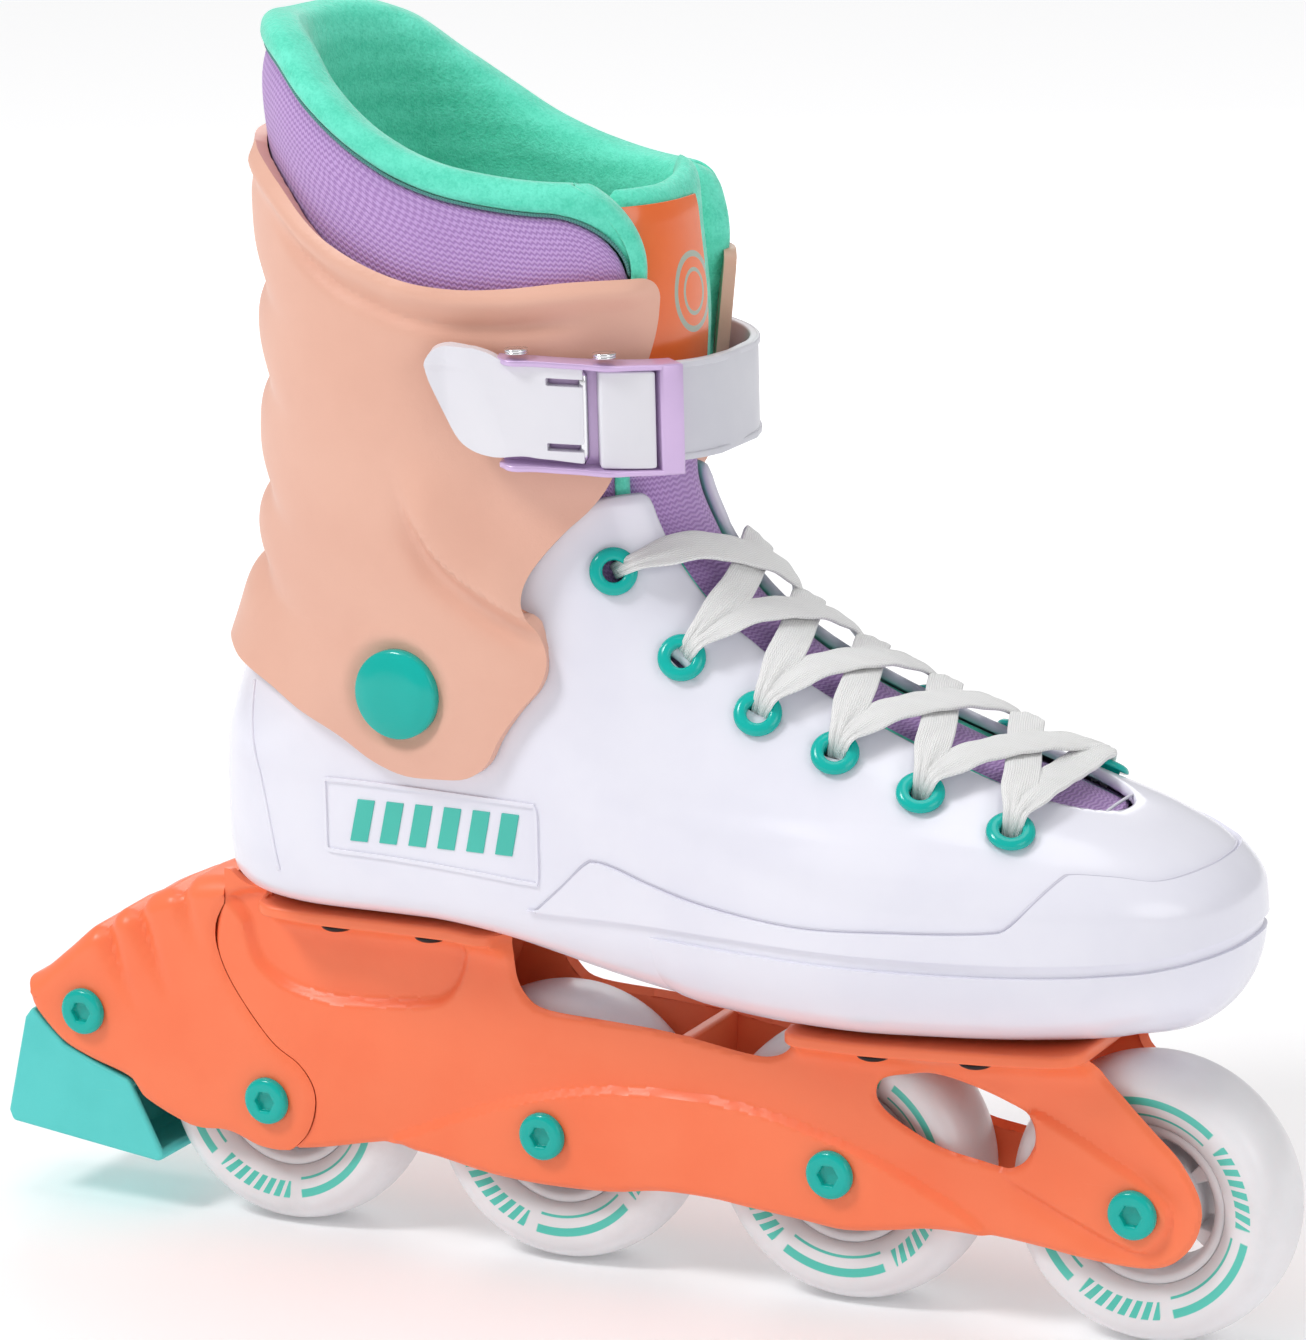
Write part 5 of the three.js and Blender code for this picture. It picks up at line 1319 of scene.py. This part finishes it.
def terry(name, light, dark):
    m, tree, shader = new_material(name, Sheen_Weight=0.45, Sheen_Roughness=0.4)
    g = place_group(tree, GRAIN, Size=1500.0)
    place = node(tree, "ShaderNodeTexCoord").outputs["Object"]
    tufts = noise(tree, 520, 4, 0.7, place)
    ridges = node(tree, "ShaderNodeTexWave", [("Vector", place)], in_Scale=42.0, in_Distortion=2.2, in_Detail=2.0,
                  bands_direction="Z")
    pile = math_node(tree, "MULTIPLY_ADD", g.outputs["Height"], 0.5, math_node(tree, "MULTIPLY", tufts, 0.7))
    pile = math_node(tree, "MULTIPLY_ADD", ridges.outputs["Fac"], 0.14, pile)
    base = blend_colour(tree, spread(tree, pile, 0.4, 0.9), dark, light)
    base = blend_colour(tree, spread(tree, g.outputs["Cloud"], 0.35, 0.75, 0.0, 0.35), base, dark)
    tree.links.new(base, shader.inputs["Base Color"])
    tree.links.new(math_node(tree, "MULTIPLY_ADD", tufts, 0.15, 0.78), shader.inputs["Roughness"])
    bump(tree, shader, pile, 0.6, 0.0008)
    return m


KNIT = knit("liner_knit", (0.58, 0.37, 0.72, 1), (0.38, 0.21, 0.52, 1))
TERRY = terry("collar_terry", (0.17, 0.85, 0.64, 1), (0.08, 0.66, 0.46, 1))
THREAD = knit("seam_thread", (0.10, 0.34, 0.30, 1), (0.05, 0.20, 0.20, 1), 0.7, 0.7)
COTTON = knit("lace_cotton", (0.97, 0.97, 0.96, 1), (0.84, 0.84, 0.84, 1), 0.55, 1.1, 0.6)
print("fabrics:", [m.name for m in (KNIT, TERRY, THREAD, COTTON)])

# %% [markdown]
# ## Liner
# The liner's outside, its rolled collar and its lining are two sheets that meet at a seam just under the rim.
# The collar sheet starts at that seam, rolls over the rim and runs down inside the boot. Two narrow sheets
# close the front edges. No cloth simulation is run: the puff of the padding is part of each sheet's surface.

# %% Liner surfaces
COLLAR_RIM = [(-4, 309), (5, 315), (14, 318), (24, 315), (37, 305), (51, 295.5), (64, 288.5), (78, 284), (96, 281),
              (112, 280), (120, 277.5), (128, 274)]


def rim_height(a):
    """Height of the collar's rim at a, a little lower on the inside of the foot."""
    z = np.full_like(np.asarray(a, float), 290.0)
    for _ in range(8):
        z = curve([q[0] for q in COLLAR_RIM], [q[1] for q in COLLAR_RIM], on_form(a, z)[..., 0])
    inside = ramp(1.02, 1.25, np.mod(a, 2)) * ramp(2.0, 1.7, np.mod(a, 2))
    return z - 2.5 * inside


def front_half(z):
    """Half width of the opening at the front of the liner, which rounds away towards the rim."""
    return 22.0 + 13.0 * (np.clip(np.asarray(z, float) - 258, 0, 26) / 26) ** 2


def a_where(y, z, sign):
    """The form's a in the front of the shaft where its side passes y at height z."""
    a = np.linspace(0.5, 1.0, 400)
    ys = np.abs(on_form(a if sign < 0 else 2 - a, np.full(400, float(z)))[:, 1])
    found = float(np.interp(-abs(y), -ys, a))
    return found if sign < 0 else 2 - found


OPEN_Z = np.arange(106, 330, 2.0)
OPEN_OUT = np.array([a_where(float(front_half(z)), z, -1) for z in OPEN_Z])
OPEN_IN = np.array([a_where(float(front_half(z)), z, 1) for z in OPEN_Z])


def liner_a(u, z):
    """a for u from the front edge on the inside of the foot, round the heel, to the front edge outside."""
    start, end = np.interp(z, OPEN_Z, OPEN_IN), np.interp(z, OPEN_Z, OPEN_OUT) + 2
    return start + (end - start) * u


def liner_outside(a, z):
    puff = 2.2 * np.exp(-((rim_height(a) - 16 - z) / 15) ** 2)
    return -4.2 + 3.8 * ramp(208, 232, z) + puff


SEAM_RADIUS, MARGIN, LINER_RUN = 17.0, 4.2, 320


def seam_drop(u):
    """Height from the rim down to the seam, which turns down round a corner at both front edges."""
    from_edge = np.minimum(u, 1 - u) * LINER_RUN - MARGIN
    inward = np.clip(1 - from_edge / SEAM_RADIUS, 0, 1)
    return 6.0 + SEAM_RADIUS * (1 - np.sqrt(np.clip(1 - inward ** 2, 0, 1)))


# %% Knitted face, rolled collar and front edges
def knit_place(u, v):
    z = np.full_like(v, 270.0)
    for _ in range(6):
        a = liner_a(u, z)
        z = 124 + (rim_height(a) - seam_drop(u) - 124) * v
    return off_form(a, z, liner_outside(a, z) - 1.1 * ramp(0.965, 1.0, v))


def collar_place(u, v):
    """From the seam outside (v = 0) over the rim to the bottom of the lining (v = 1)."""
    knots = [0, 0.05, 0.1, 0.16, 0.23, 0.3, 0.38, 0.5, 0.75, 1.0]
    z = np.full_like(v, 270.0)
    for _ in range(6):
        a = liner_a(u, z)
        rim = rim_height(a)
        drop = curve(knots, [-6.1, -4.0, -0.8, 1.5, 0.8, -3.0, -9.0, -26.0, 170 - rim, 109 - rim], v)
        z = rim + drop - (seam_drop(u) - 6.0) * ramp(0.07, 0.0, v)
    seam = liner_outside(a, rim - 6.0)
    out = curve(knots, [seam - 1.0, seam + 0.9, seam + 0.5, seam - 2.6, seam - 7.4, seam - 10.6, seam - 11.6,
                        seam - 10.6, -9.6, -11.2], v)
    return off_form(a, z, out)


def liner_edge_place(sign):
    """The rounded front edge that closes the liner from its outside to its lining, and the collar's end."""
    def place(u, v):
        a = np.full_like(v, 0.8)
        z = np.full_like(v, 270.0)
        for _ in range(6):
            z = 140 + (rim_height(a) + 1.35 - 140) * v ** 0.8
            a = np.interp(z, OPEN_Z, OPEN_OUT if sign < 0 else OPEN_IN)
        across = u if sign < 0 else 1 - u
        # the section closes over the rim as the collar's own does
        close = np.sqrt(np.clip(1 - np.clip((z - rim_height(a) + 4.2) / 5.55, 0, 1) ** 2, 0, 1))
        seam = liner_outside(a, np.minimum(z, rim_height(a) - 6.0))
        core = seam - 4.6
        outer, inner = core + 5.5 * close, core + (-10.8 - core) * close
        turn = np.clip((across - 0.3) / 0.7, 0, 1)
        bulge = np.where(across < 0.3, -0.024 * (1 - across / 0.3), 0.022 * np.sin(np.pi * turn) ** 0.7)
        bulge = np.where(across < 0.3, bulge * close, bulge)
        return off_form(a + bulge * (1 if sign < 0 else -1), z, outer + (inner - outer) * turn ** 0.9)

    return place


finish_piece(wrapped_sheet(knit_place, 110, 36, closed=False, uv_scale=(330, 150)), "liner_outside", KNIT,
             replaces=["liner"], wall=1.6, levels=1)
finish_piece(wrapped_sheet(collar_place, 110, 44, closed=False, uv_scale=(300, 220)), "liner_collar", TERRY,
             replaces=["liner"], wall=1.4, levels=1)
for sign, label in ((-1, "outer"), (1, "inner")):
    finish_piece(wrapped_sheet(liner_edge_place(sign), 14, 80, closed=False), f"liner_binding_{label}", TERRY,
                 wall=1.0, levels=1, replaces=["liner"])


# %% Tube helper, and the liner's sewn seam
def tube_piece(name, path, radius, material, cells=None, sides=10):
    """A round tube along points, with both ends drawn in."""
    path = np.asarray(path, float)
    length = np.concatenate([[0], np.cumsum(np.linalg.norm(np.diff(path, axis=0), axis=1))])
    tangent = np.gradient(path, axis=0)
    tangent /= np.linalg.norm(tangent, axis=1, keepdims=True) + 1e-9

    def place(u, v):
        # u runs round the tube, v along it
        at = v * length[-1]
        c = np.stack([np.interp(at, length, path[:, k]) for k in range(3)], -1)
        t = np.stack([np.interp(at, length, tangent[:, k]) for k in range(3)], -1)
        side = np.cross(t, (0.35, 0.1, 1.0))
        side /= np.linalg.norm(side, axis=1, keepdims=True) + 1e-9
        up = np.cross(side, t)
        end = np.minimum(at, length[-1] - at) / radius
        r = (radius * np.sqrt(np.clip(1 - np.clip(1 - end, 0, 1) ** 2, 0, 1)) + 0.02)[:, None]
        angle = -2 * np.pi * u
        return c + side * r * np.cos(angle)[:, None] + up * r * np.sin(angle)[:, None]

    cells = cells or int(max(8, length[-1] / 1.6))
    bm = wrapped_sheet(place, sides, cells, closed=True, weld=0.03, uv_scale=(2 * math.pi * radius, length[-1]))
    bmesh.ops.holes_fill(bm, edges=[e for e in bm.edges if e.is_boundary], sides=0)
    bmesh.ops.recalc_face_normals(bm, faces=bm.faces)
    finish_piece(bm, name, material)


u_line = np.linspace(0.014, 0.986, 320)
z = np.full_like(u_line, 280.0)
for _ in range(6):
    line = liner_a(u_line, z)
    z = rim_height(line) - seam_drop(u_line) - 0.1
tube_piece("liner_seam", off_form(line, z, liner_outside(line, z) - 0.35), 0.42, THREAD, sides=6,
           cells=260)

# %% [markdown]
# ## Tongue
# The tongue is a flat pad that follows the front of the shaft and the instep. Its section is a rounded slab
# wrapped on the boot's form. Above the strap it carries a glossy orange panel between mint edges, with a plain
# ring printed on it.

# %% Tongue pad
TONGUE_HALF, TONGUE_THICK = 21.3, 7.0
PANEL_LOW, PANEL_TALL = 226, 48.5
tongue_z = np.linspace(279, 132.5, 240)
centre = np.stack([level(tongue_z, 2), tongue_z], 1)
run = np.concatenate([[0], np.cumsum(np.linalg.norm(np.diff(centre, axis=0), axis=1))])
FRONT_A, FRONT_Z = np.linspace(0.5, 1.5, 900), np.arange(120, 282, 1.0)
FRONT_Y = [on_form(FRONT_A, np.full(len(FRONT_A), z))[:, 1] for z in FRONT_Z]


def front_a(y, z):
    """a on the front of the form at sideways place y and height z, read from rows a millimetre apart."""
    row = np.clip(z - FRONT_Z[0], 0, len(FRONT_Z) - 1.001)
    low = row.astype(int)
    f = row - low
    out = np.empty_like(y)
    for k in np.unique(low):
        pick = low == k
        below, above = (np.interp(y[pick], FRONT_Y[k + j], FRONT_A) for j in (0, 1))
        out[pick] = below * (1 - f[pick]) + above * f[pick]
    return out


def tongue_lean(z):
    return -6.0 * ramp(240, 282, z)


def tongue_place(u, v):
    """u runs round the slab's section, v from the top edge down to the toe."""
    z = np.interp(v * run[-1], run, tongue_z)
    angle = 2 * np.pi * u
    c, s = np.cos(angle), np.sin(angle)
    from_end = np.minimum(v * run[-1], 12.0) / 12.0
    end = np.sqrt(np.clip(1 - (1 - np.clip(from_end * 2.4, 0, 1)) ** 2, 0, 1))
    width = TONGUE_HALF - 5.0 * (1 - from_end) ** 2.2
    width = width + 8.5 * ramp(254, 277, z)
    y = -width * np.sign(c) * np.abs(c) ** 0.62
    half = TONGUE_THICK / 2
    out = tongue_lean(z) - (3.6 - 2.6 * ramp(212, 228, z)) - half + half * np.sign(s) * np.abs(s) ** 0.7 * end
    swing = level(z, 8)
    z = z + 4.0 * ramp(-6, 20, y) * (1 - from_end)
    return off_form(front_a(y + swing, z), z, out)


tongue_bm = wrapped_sheet(tongue_place, 56, 96, uv_scale=(90, 230))
bmesh.ops.holes_fill(tongue_bm, edges=[e for e in tongue_bm.edges if e.is_boundary], sides=0)
bmesh.ops.recalc_face_normals(tongue_bm, faces=tongue_bm.faces)
tongue = finish_piece(tongue_bm, "tongue_pad", KNIT, replaces=["tongue"], levels=1)
tongue.data.materials.append(TERRY)
for f in tongue.data.polygons:
    c = np.array(f.center) / MM + ORIGIN
    if abs(c[1] - level(c[2], 8)) > (13.0 if c[2] < 188 else 17.2) or c[2] > PANEL_LOW:
        f.material_index = 1


# %% Orange panel with its ring
def make_panel():
    m, tree, shader = new_material("panel_vinyl", Coat_Weight=0.5, Coat_Roughness=0.12)
    uv = node(tree, "ShaderNodeUVMap")
    uv.uv_map = "UVMap"
    at = node(tree, "ShaderNodeMapping", [("Vector", uv.outputs[0])], in_Location=(-19.5, -26.0, 0))
    far = node(tree, "ShaderNodeVectorMath", [(0, at.outputs[0])], operation="LENGTH").outputs["Value"]
    ring = math_node(tree, "COMPARE", far, 9.0, 0.75)
    inner = math_node(tree, "COMPARE", far, 5.2, 0.5)
    g, w = place_group(tree, GRAIN, Size=800.0), place_group(tree, WEAR, Amount=0.5)
    cloud = spread(tree, g.outputs["Cloud"], 0.35, 0.7)
    base = blend_colour(tree, cloud, (0.90, 0.17, 0.03, 1), (0.84, 0.14, 0.02, 1))
    base = blend_colour(tree, math_node(tree, "MAXIMUM", ring, inner), base, (0.36, 0.42, 0.34, 1))
    tree.links.new(base, shader.inputs["Base Color"])
    tree.links.new(math_node(tree, "MULTIPLY_ADD", w.outputs["Scuff"], 0.2, 0.22), shader.inputs["Roughness"])
    bump(tree, shader, g.outputs["Height"], 0.05, 0.0004)
    return m


PANEL = make_panel()


def panel_place(u, v):
    z = PANEL_LOW + PANEL_TALL * v
    left = -20.0 - 8.5 * ramp(254, 277, z)
    y = left + (5.0 - left) * u
    return off_form(front_a(y + level(z, 8), z), z, tongue_lean(z) - 0.75 - 0.5 * ramp(0.94, 1.0, v))


finish_piece(wrapped_sheet(panel_place, 20, 30, closed=False, uv_scale=(28, PANEL_TALL)), "tongue_panel", PANEL,
             wall=0.8, offset=1.0, bevel=0.25)


# %% Insole
def insole_place(u, v):
    a = 2 * u
    z = seam_height(a) + 8.4
    edge = off_form(a, z, -11.4)
    spine_x = np.clip(edge[..., 0], 30, 225)
    w = 1 - (1 - v) ** 1.6
    spine_y = level(110.0, 8) * ramp(0.35, 1, (spine_x + 10) / 272)
    x = edge[..., 0] + (spine_x - edge[..., 0]) * w
    y = edge[..., 1] + (spine_y - edge[..., 1]) * w
    return np.stack([x, y, edge[..., 2] - 0.8 * w], -1)


finish_piece(wrapped_sheet(insole_place, 90, 14, uv_scale=(500, 60)), "insole_pad", TERRY,
             replaces=["insole"], wall=4.4, levels=0, bevel=0.8)

# %% [markdown]
# ## Eyelets and laces
# Six enamelled eyelets sit on each side of the throat. The laces are flat woven cotton. Each run leaves an
# eyelet narrow and bunched, opens out over the instep, and goes down into the next eyelet on the other side.
# A run is a sheet that bends over the form between its two eyelets, and runs that cross keep apart in height.

# %% Eyelets
LACE_WIDE = 9.0


def march_out(start, direction):
    """How far along direction each start point leaves the form."""
    low, high = np.full(len(start), -6.0), np.full(len(start), 40.0)
    for _ in range(22):
        mid = (low + high) / 2
        deep = inside_form(start + direction * mid[:, None])
        low, high = np.where(deep, mid, low), np.where(deep, high, mid)
    return (low + high) / 2


EYELET = [(2.75, 5.2), (2.75, 0.9), (2.95, 0.3), (3.5, 0.0), (4.4, 0.02), (5.3, 0.35), (5.85, 0.95), (5.95, 1.5),
          (5.6, 1.75), (3.8, 1.75), (3.7, 5.2), (2.75, 5.2)]
for sign, label in ((-1, "lateral"), (1, "medial")):
    for k in range(6):
        at, away = seats[sign, k]
        bm = lathe(EYELET, (0, 0, 0), "Z", 40, 1.0)
        turn = Vector((0, 0, 1)).rotation_difference(Vector(away)).to_matrix()
        bmesh.ops.rotate(bm, cent=(0, 0, 0), matrix=turn, verts=bm.verts)
        bmesh.ops.translate(bm, vec=at + away * 2.6, verts=bm.verts)
        finish_piece(bm, f"eyelet_{label}_ring_{k + 1}", TEAL,
                     replaces=[f"eyelet_{label}_{k + 1}"])


# %% Lace runs
def lace_run(name, start, end, lift):
    (p0, n0), (p1, n1) = start, end
    t = np.linspace(0, 1, 60)
    chord = p0 + (p1 - p0) * t[:, None]
    out = (n0 + n1) / 2
    out = out / np.linalg.norm(out)
    top = chord + out * march_out(chord, np.repeat(out[None], 60, 0))[:, None]
    near = np.minimum(t, 1 - t) * np.linalg.norm(p1 - p0)
    rise = ramp(0.12, 0.4, np.minimum(t, 1 - t))
    height = 4.1 + (lift - 4.1) * rise + 0.3 * np.sin(9 * t + 3 * lift) * rise
    height = height - 9.0 * np.clip(1 - near / 3.0, 0, 1) ** 1.3
    mid = ramp(0.02, 0.32, np.minimum(t, 1 - t))[:, None]
    blend = out * mid + np.where(t[:, None] < 0.5, n0, n1) * (1 - mid)
    blend = blend / np.linalg.norm(blend, axis=1, keepdims=True)
    path = top + blend * height[:, None]
    flat_tangent = (p1 - p0) / np.linalg.norm(p1 - p0)
    across = np.cross(out, flat_tangent)
    across /= np.linalg.norm(across)
    wide = LACE_WIDE * (0.48 + 0.52 * ramp(2.0, 11.0, near))

    def place(u, v):
        c = np.stack([np.interp(u, t, path[:, k]) for k in range(3)], -1)
        w = np.interp(u, t, wide)
        e = np.stack([np.interp(u, t, blend[:, k]) for k in range(3)], -1)
        f = np.interp(u, t, near)
        cup = (0.35 + 1.5 * np.exp(-f / 5.0)) * (1 - (2 * v - 1) ** 2)
        folds = 0.55 * np.sin(5 * np.pi * v + 6 * u) * np.exp(-f / 7.0) + 0.16 * np.sin(34 * u + 7 * v)
        return c + across * (w * (v - 0.5))[:, None] + e * (cup + folds)[:, None]

    bm = wrapped_sheet(place, 72, 14, closed=False, uv_scale=(np.linalg.norm(p1 - p0) * 1.15, LACE_WIDE))
    bmesh.ops.recalc_face_normals(bm, faces=bm.faces)
    finish_piece(bm, name, COTTON, replaces=["lace"], wall=1.15, offset=0.0, levels=1)


lace_run("lace_bar", seats[-1, 5], seats[1, 5], 1.9)
for k in range(5):
    lace_run(f"lace_under_{k + 1}", seats[-1, k + 1], seats[1, k], 2.0)
    lace_run(f"lace_over_{k + 1}", seats[1, k + 1], seats[-1, k], 3.6)

# %% [markdown]
# ## Strap and buckle
# A plastic strap crosses the front of the shaft into a ratchet buckle. All its parts curve with the cuff, so
# each is a block whose length runs round the boot, and its place is worked out from the same curved path.

# %% Curved blocks on the strap's path
STRAP_Z, STRAP_RUN, STRAP_TILT = 231.0, 117, 0.06    # height, millimetres to one share of the path, fall per mm


def strap_place(share, rise, out):
    share, rise, out = (np.asarray(q, float) for q in (share, rise, out))
    s = np.where(share > 1, 2 - share, share)
    a = np.arccos(1 - 2 * np.clip(s, 0, 1)) / np.pi
    a = np.where(share > 1, 2 - a, a)
    base = off_form(a, np.full_like(share, STRAP_Z), CUFF_OFF + 4.5 * ramp(0.72, 1, s) + out)
    base[..., 2] += rise - (base[..., 0] - 60) * STRAP_TILT
    return base


def curved_block(name, material, replaces, shares, rises, outs, cells=12, bevel=0.5, shape=None):
    bm = bmesh.new()
    bmesh.ops.create_cube(bm, size=1)
    length = abs(shares[1] - shares[0]) * STRAP_RUN
    bmesh.ops.scale(bm, vec=(length, outs[1] - outs[0], rises[1] - rises[0]), verts=bm.verts)
    bmesh.ops.bevel(bm, geom=bm.edges[:], offset=bevel, affect="EDGES", segments=3, profile=0.5, material=-1)
    for k in range(1, cells):
        at = -length / 2 + length * k / cells
        bmesh.ops.bisect_plane(bm, geom=bm.verts[:] + bm.edges[:] + bm.faces[:], plane_co=(at, 0, 0),
                               plane_no=(1, 0, 0), dist=1e-5)
    p = np.array([v.co for v in bm.verts])
    share = shares[0] + (p[:, 0] / length + 0.5) * (shares[1] - shares[0])
    rise = p[:, 2] + (rises[0] + rises[1]) / 2
    out = p[:, 1] + (outs[0] + outs[1]) / 2
    if shape is not None:
        share, rise, out = shape(share, rise, out)
    for v, q in zip(bm.verts, strap_place(share, rise, out)):
        v.co = q
    bmesh.ops.recalc_face_normals(bm, faces=bm.faces)
    finish_piece(bm, name, material, replaces=replaces)


def strap_teeth(share, rise, out):
    tooth = np.mod((share - 0.9) * 46, 1.0)
    raised = np.where((np.abs(rise) < 7.5) & (share > 1.03) & (out > 1.6), 0.55 * tooth, 0)
    return share, rise, out + raised


curved_block("strap_band", STRAP, ["strap"], (0.80, 1.42), (-12, 12), (0.5, 2.7), 90, 0.6, strap_teeth)
curved_block("strap_edge_top", STRAP, [], (0.95, 1.40), (10.4, 12.05), (2.2, 3.2), 40, 0.35)
curved_block("strap_edge_low", STRAP, [], (0.95, 1.40), (-12.05, -10.4), (2.2, 3.2), 40, 0.35)
curved_block("buckle_back", LILAC, ["buckle_base"], (0.705, 0.955), (-13.4, 13.4), (3.0, 4.2), 14, 0.3)


def rail_shape(share, rise, out):
    humps = np.exp(-((share - 0.735) / 0.022) ** 2) + np.exp(-((share - 0.875) / 0.022) ** 2)
    outer = out > 8.0
    return share, rise, out + np.where(outer, 1.3 * humps - 2.2 * ramp(0.725, 0.70, share), 0)


for label, low, high in (("top", 12.1, 13.5), ("low", -13.5, -12.1)):
    curved_block(f"buckle_rail_{label}", LILAC, ["buckle_base"], (0.70, 0.957), (low, high),
                 (3.2, 9.4), 26, 0.35, rail_shape)
curved_block("buckle_lip", LILAC, ["buckle_base"], (0.936, 0.957), (-13.4, 13.4), (3.2, 9.5), 4, 0.45)
curved_block("buckle_slider", LEVER, ["buckle_block"], (0.868, 0.932), (-11.8, 11.8), (4.4, 9.1),
             8, 0.6)

# %% Lever with its scooped tab
LEVER_SIDE = rounded([(74.2, 240), (77, 244.2), (83, 245.0), (89, 243.4), (94, 241.0), (104, 239.9), (130, 238.4),
                      (130, 216.2), (104, 217.4), (97, 218.2), (90, 217.8), (84, 219.4), (80.3, 223), (76.5, 232)], 4)


def lever_keep_at(share, rise, p):
    outline = side_distance(LEVER_SIDE, p)
    end = (0.846 - share) * STRAP_RUN
    slot_box = np.minimum(np.minimum((share - 0.79) * STRAP_RUN, 99), 0.95 - np.abs(np.abs(rise) - 7.9))
    return np.minimum(np.minimum(outline, end), -slot_box)


def lever_relief(share, rise):
    scoop = ramp(0.70, 0.585, share + 0.0035 * rise)
    tip = ramp(0.60, 0.555, share)
    return -2.2 * scoop + 1.3 * tip + 0.5 * np.exp(-((np.abs(rise) - 10.8) / 1.2) ** 2) * scoop


LEVER_LOW, LEVER_HIGH, LEVER_OUT = 0.535, 0.87, 8.5


def lever_place(u, v):
    share = LEVER_LOW + (LEVER_HIGH - LEVER_LOW) * u
    rise = -15.5 + 31 * v
    return strap_place(share, rise, LEVER_OUT + lever_relief(share, rise))


def lever_keep(p):
    x = p[..., 0]
    share = np.interp(x, lever_xs, lever_shares)
    rise = p[..., 2] - STRAP_Z + (x - 60) * STRAP_TILT
    return lever_keep_at(share, rise, p)


lever_shares = np.linspace(LEVER_LOW, LEVER_HIGH, 200)
lever_xs = strap_place(lever_shares, np.zeros(200), np.full(200, LEVER_OUT))[:, 0]
finish_piece(wrapped_sheet(lever_place, 120, 84, lever_keep, closed=False), "buckle_lever_arm", LEVER,
             replaces=["buckle_lever"], wall=3.6, bevel=0.7)
for name, share in (("rear", 0.735), ("front", 0.875)):
    lo, hi = node_box(f"buckle_pin_{name}")
    x, y = (lo[0] + hi[0]) / 2, (lo[1] + hi[1]) / 2
    tall = hi[2] - lo[2]
    profile = [(0, 0), (1.3, 0.1), (2.2, 0.45), (2.8, 1.0), (2.9, 1.3), (1.2, 1.35), (1.2, tall - 1.4),
               (2.9, tall - 1.3), (2.8, tall - 0.7), (2.2, tall - 0.2), (1.2, tall + 0.1), (0, tall + 0.15)]
    finish_piece(lathe(profile, (x, y, hi[2] + 0.3), "Z", 28, 1.0), f"buckle_rivet_{name}", STEEL,
                 replaces=[f"buckle_pin_{name}"])
bar_path = strap_place(np.full(12, 0.848), np.linspace(-11.8, 11.8, 12), np.full(12, 5.6))
tube_piece("buckle_hinge_bar", bar_path, 1.15, STEEL, cells=12, sides=16)

# %% Sizes, and the end
low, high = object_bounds()
print("visual box", [round(v, 3) for v in (*low, *high)])
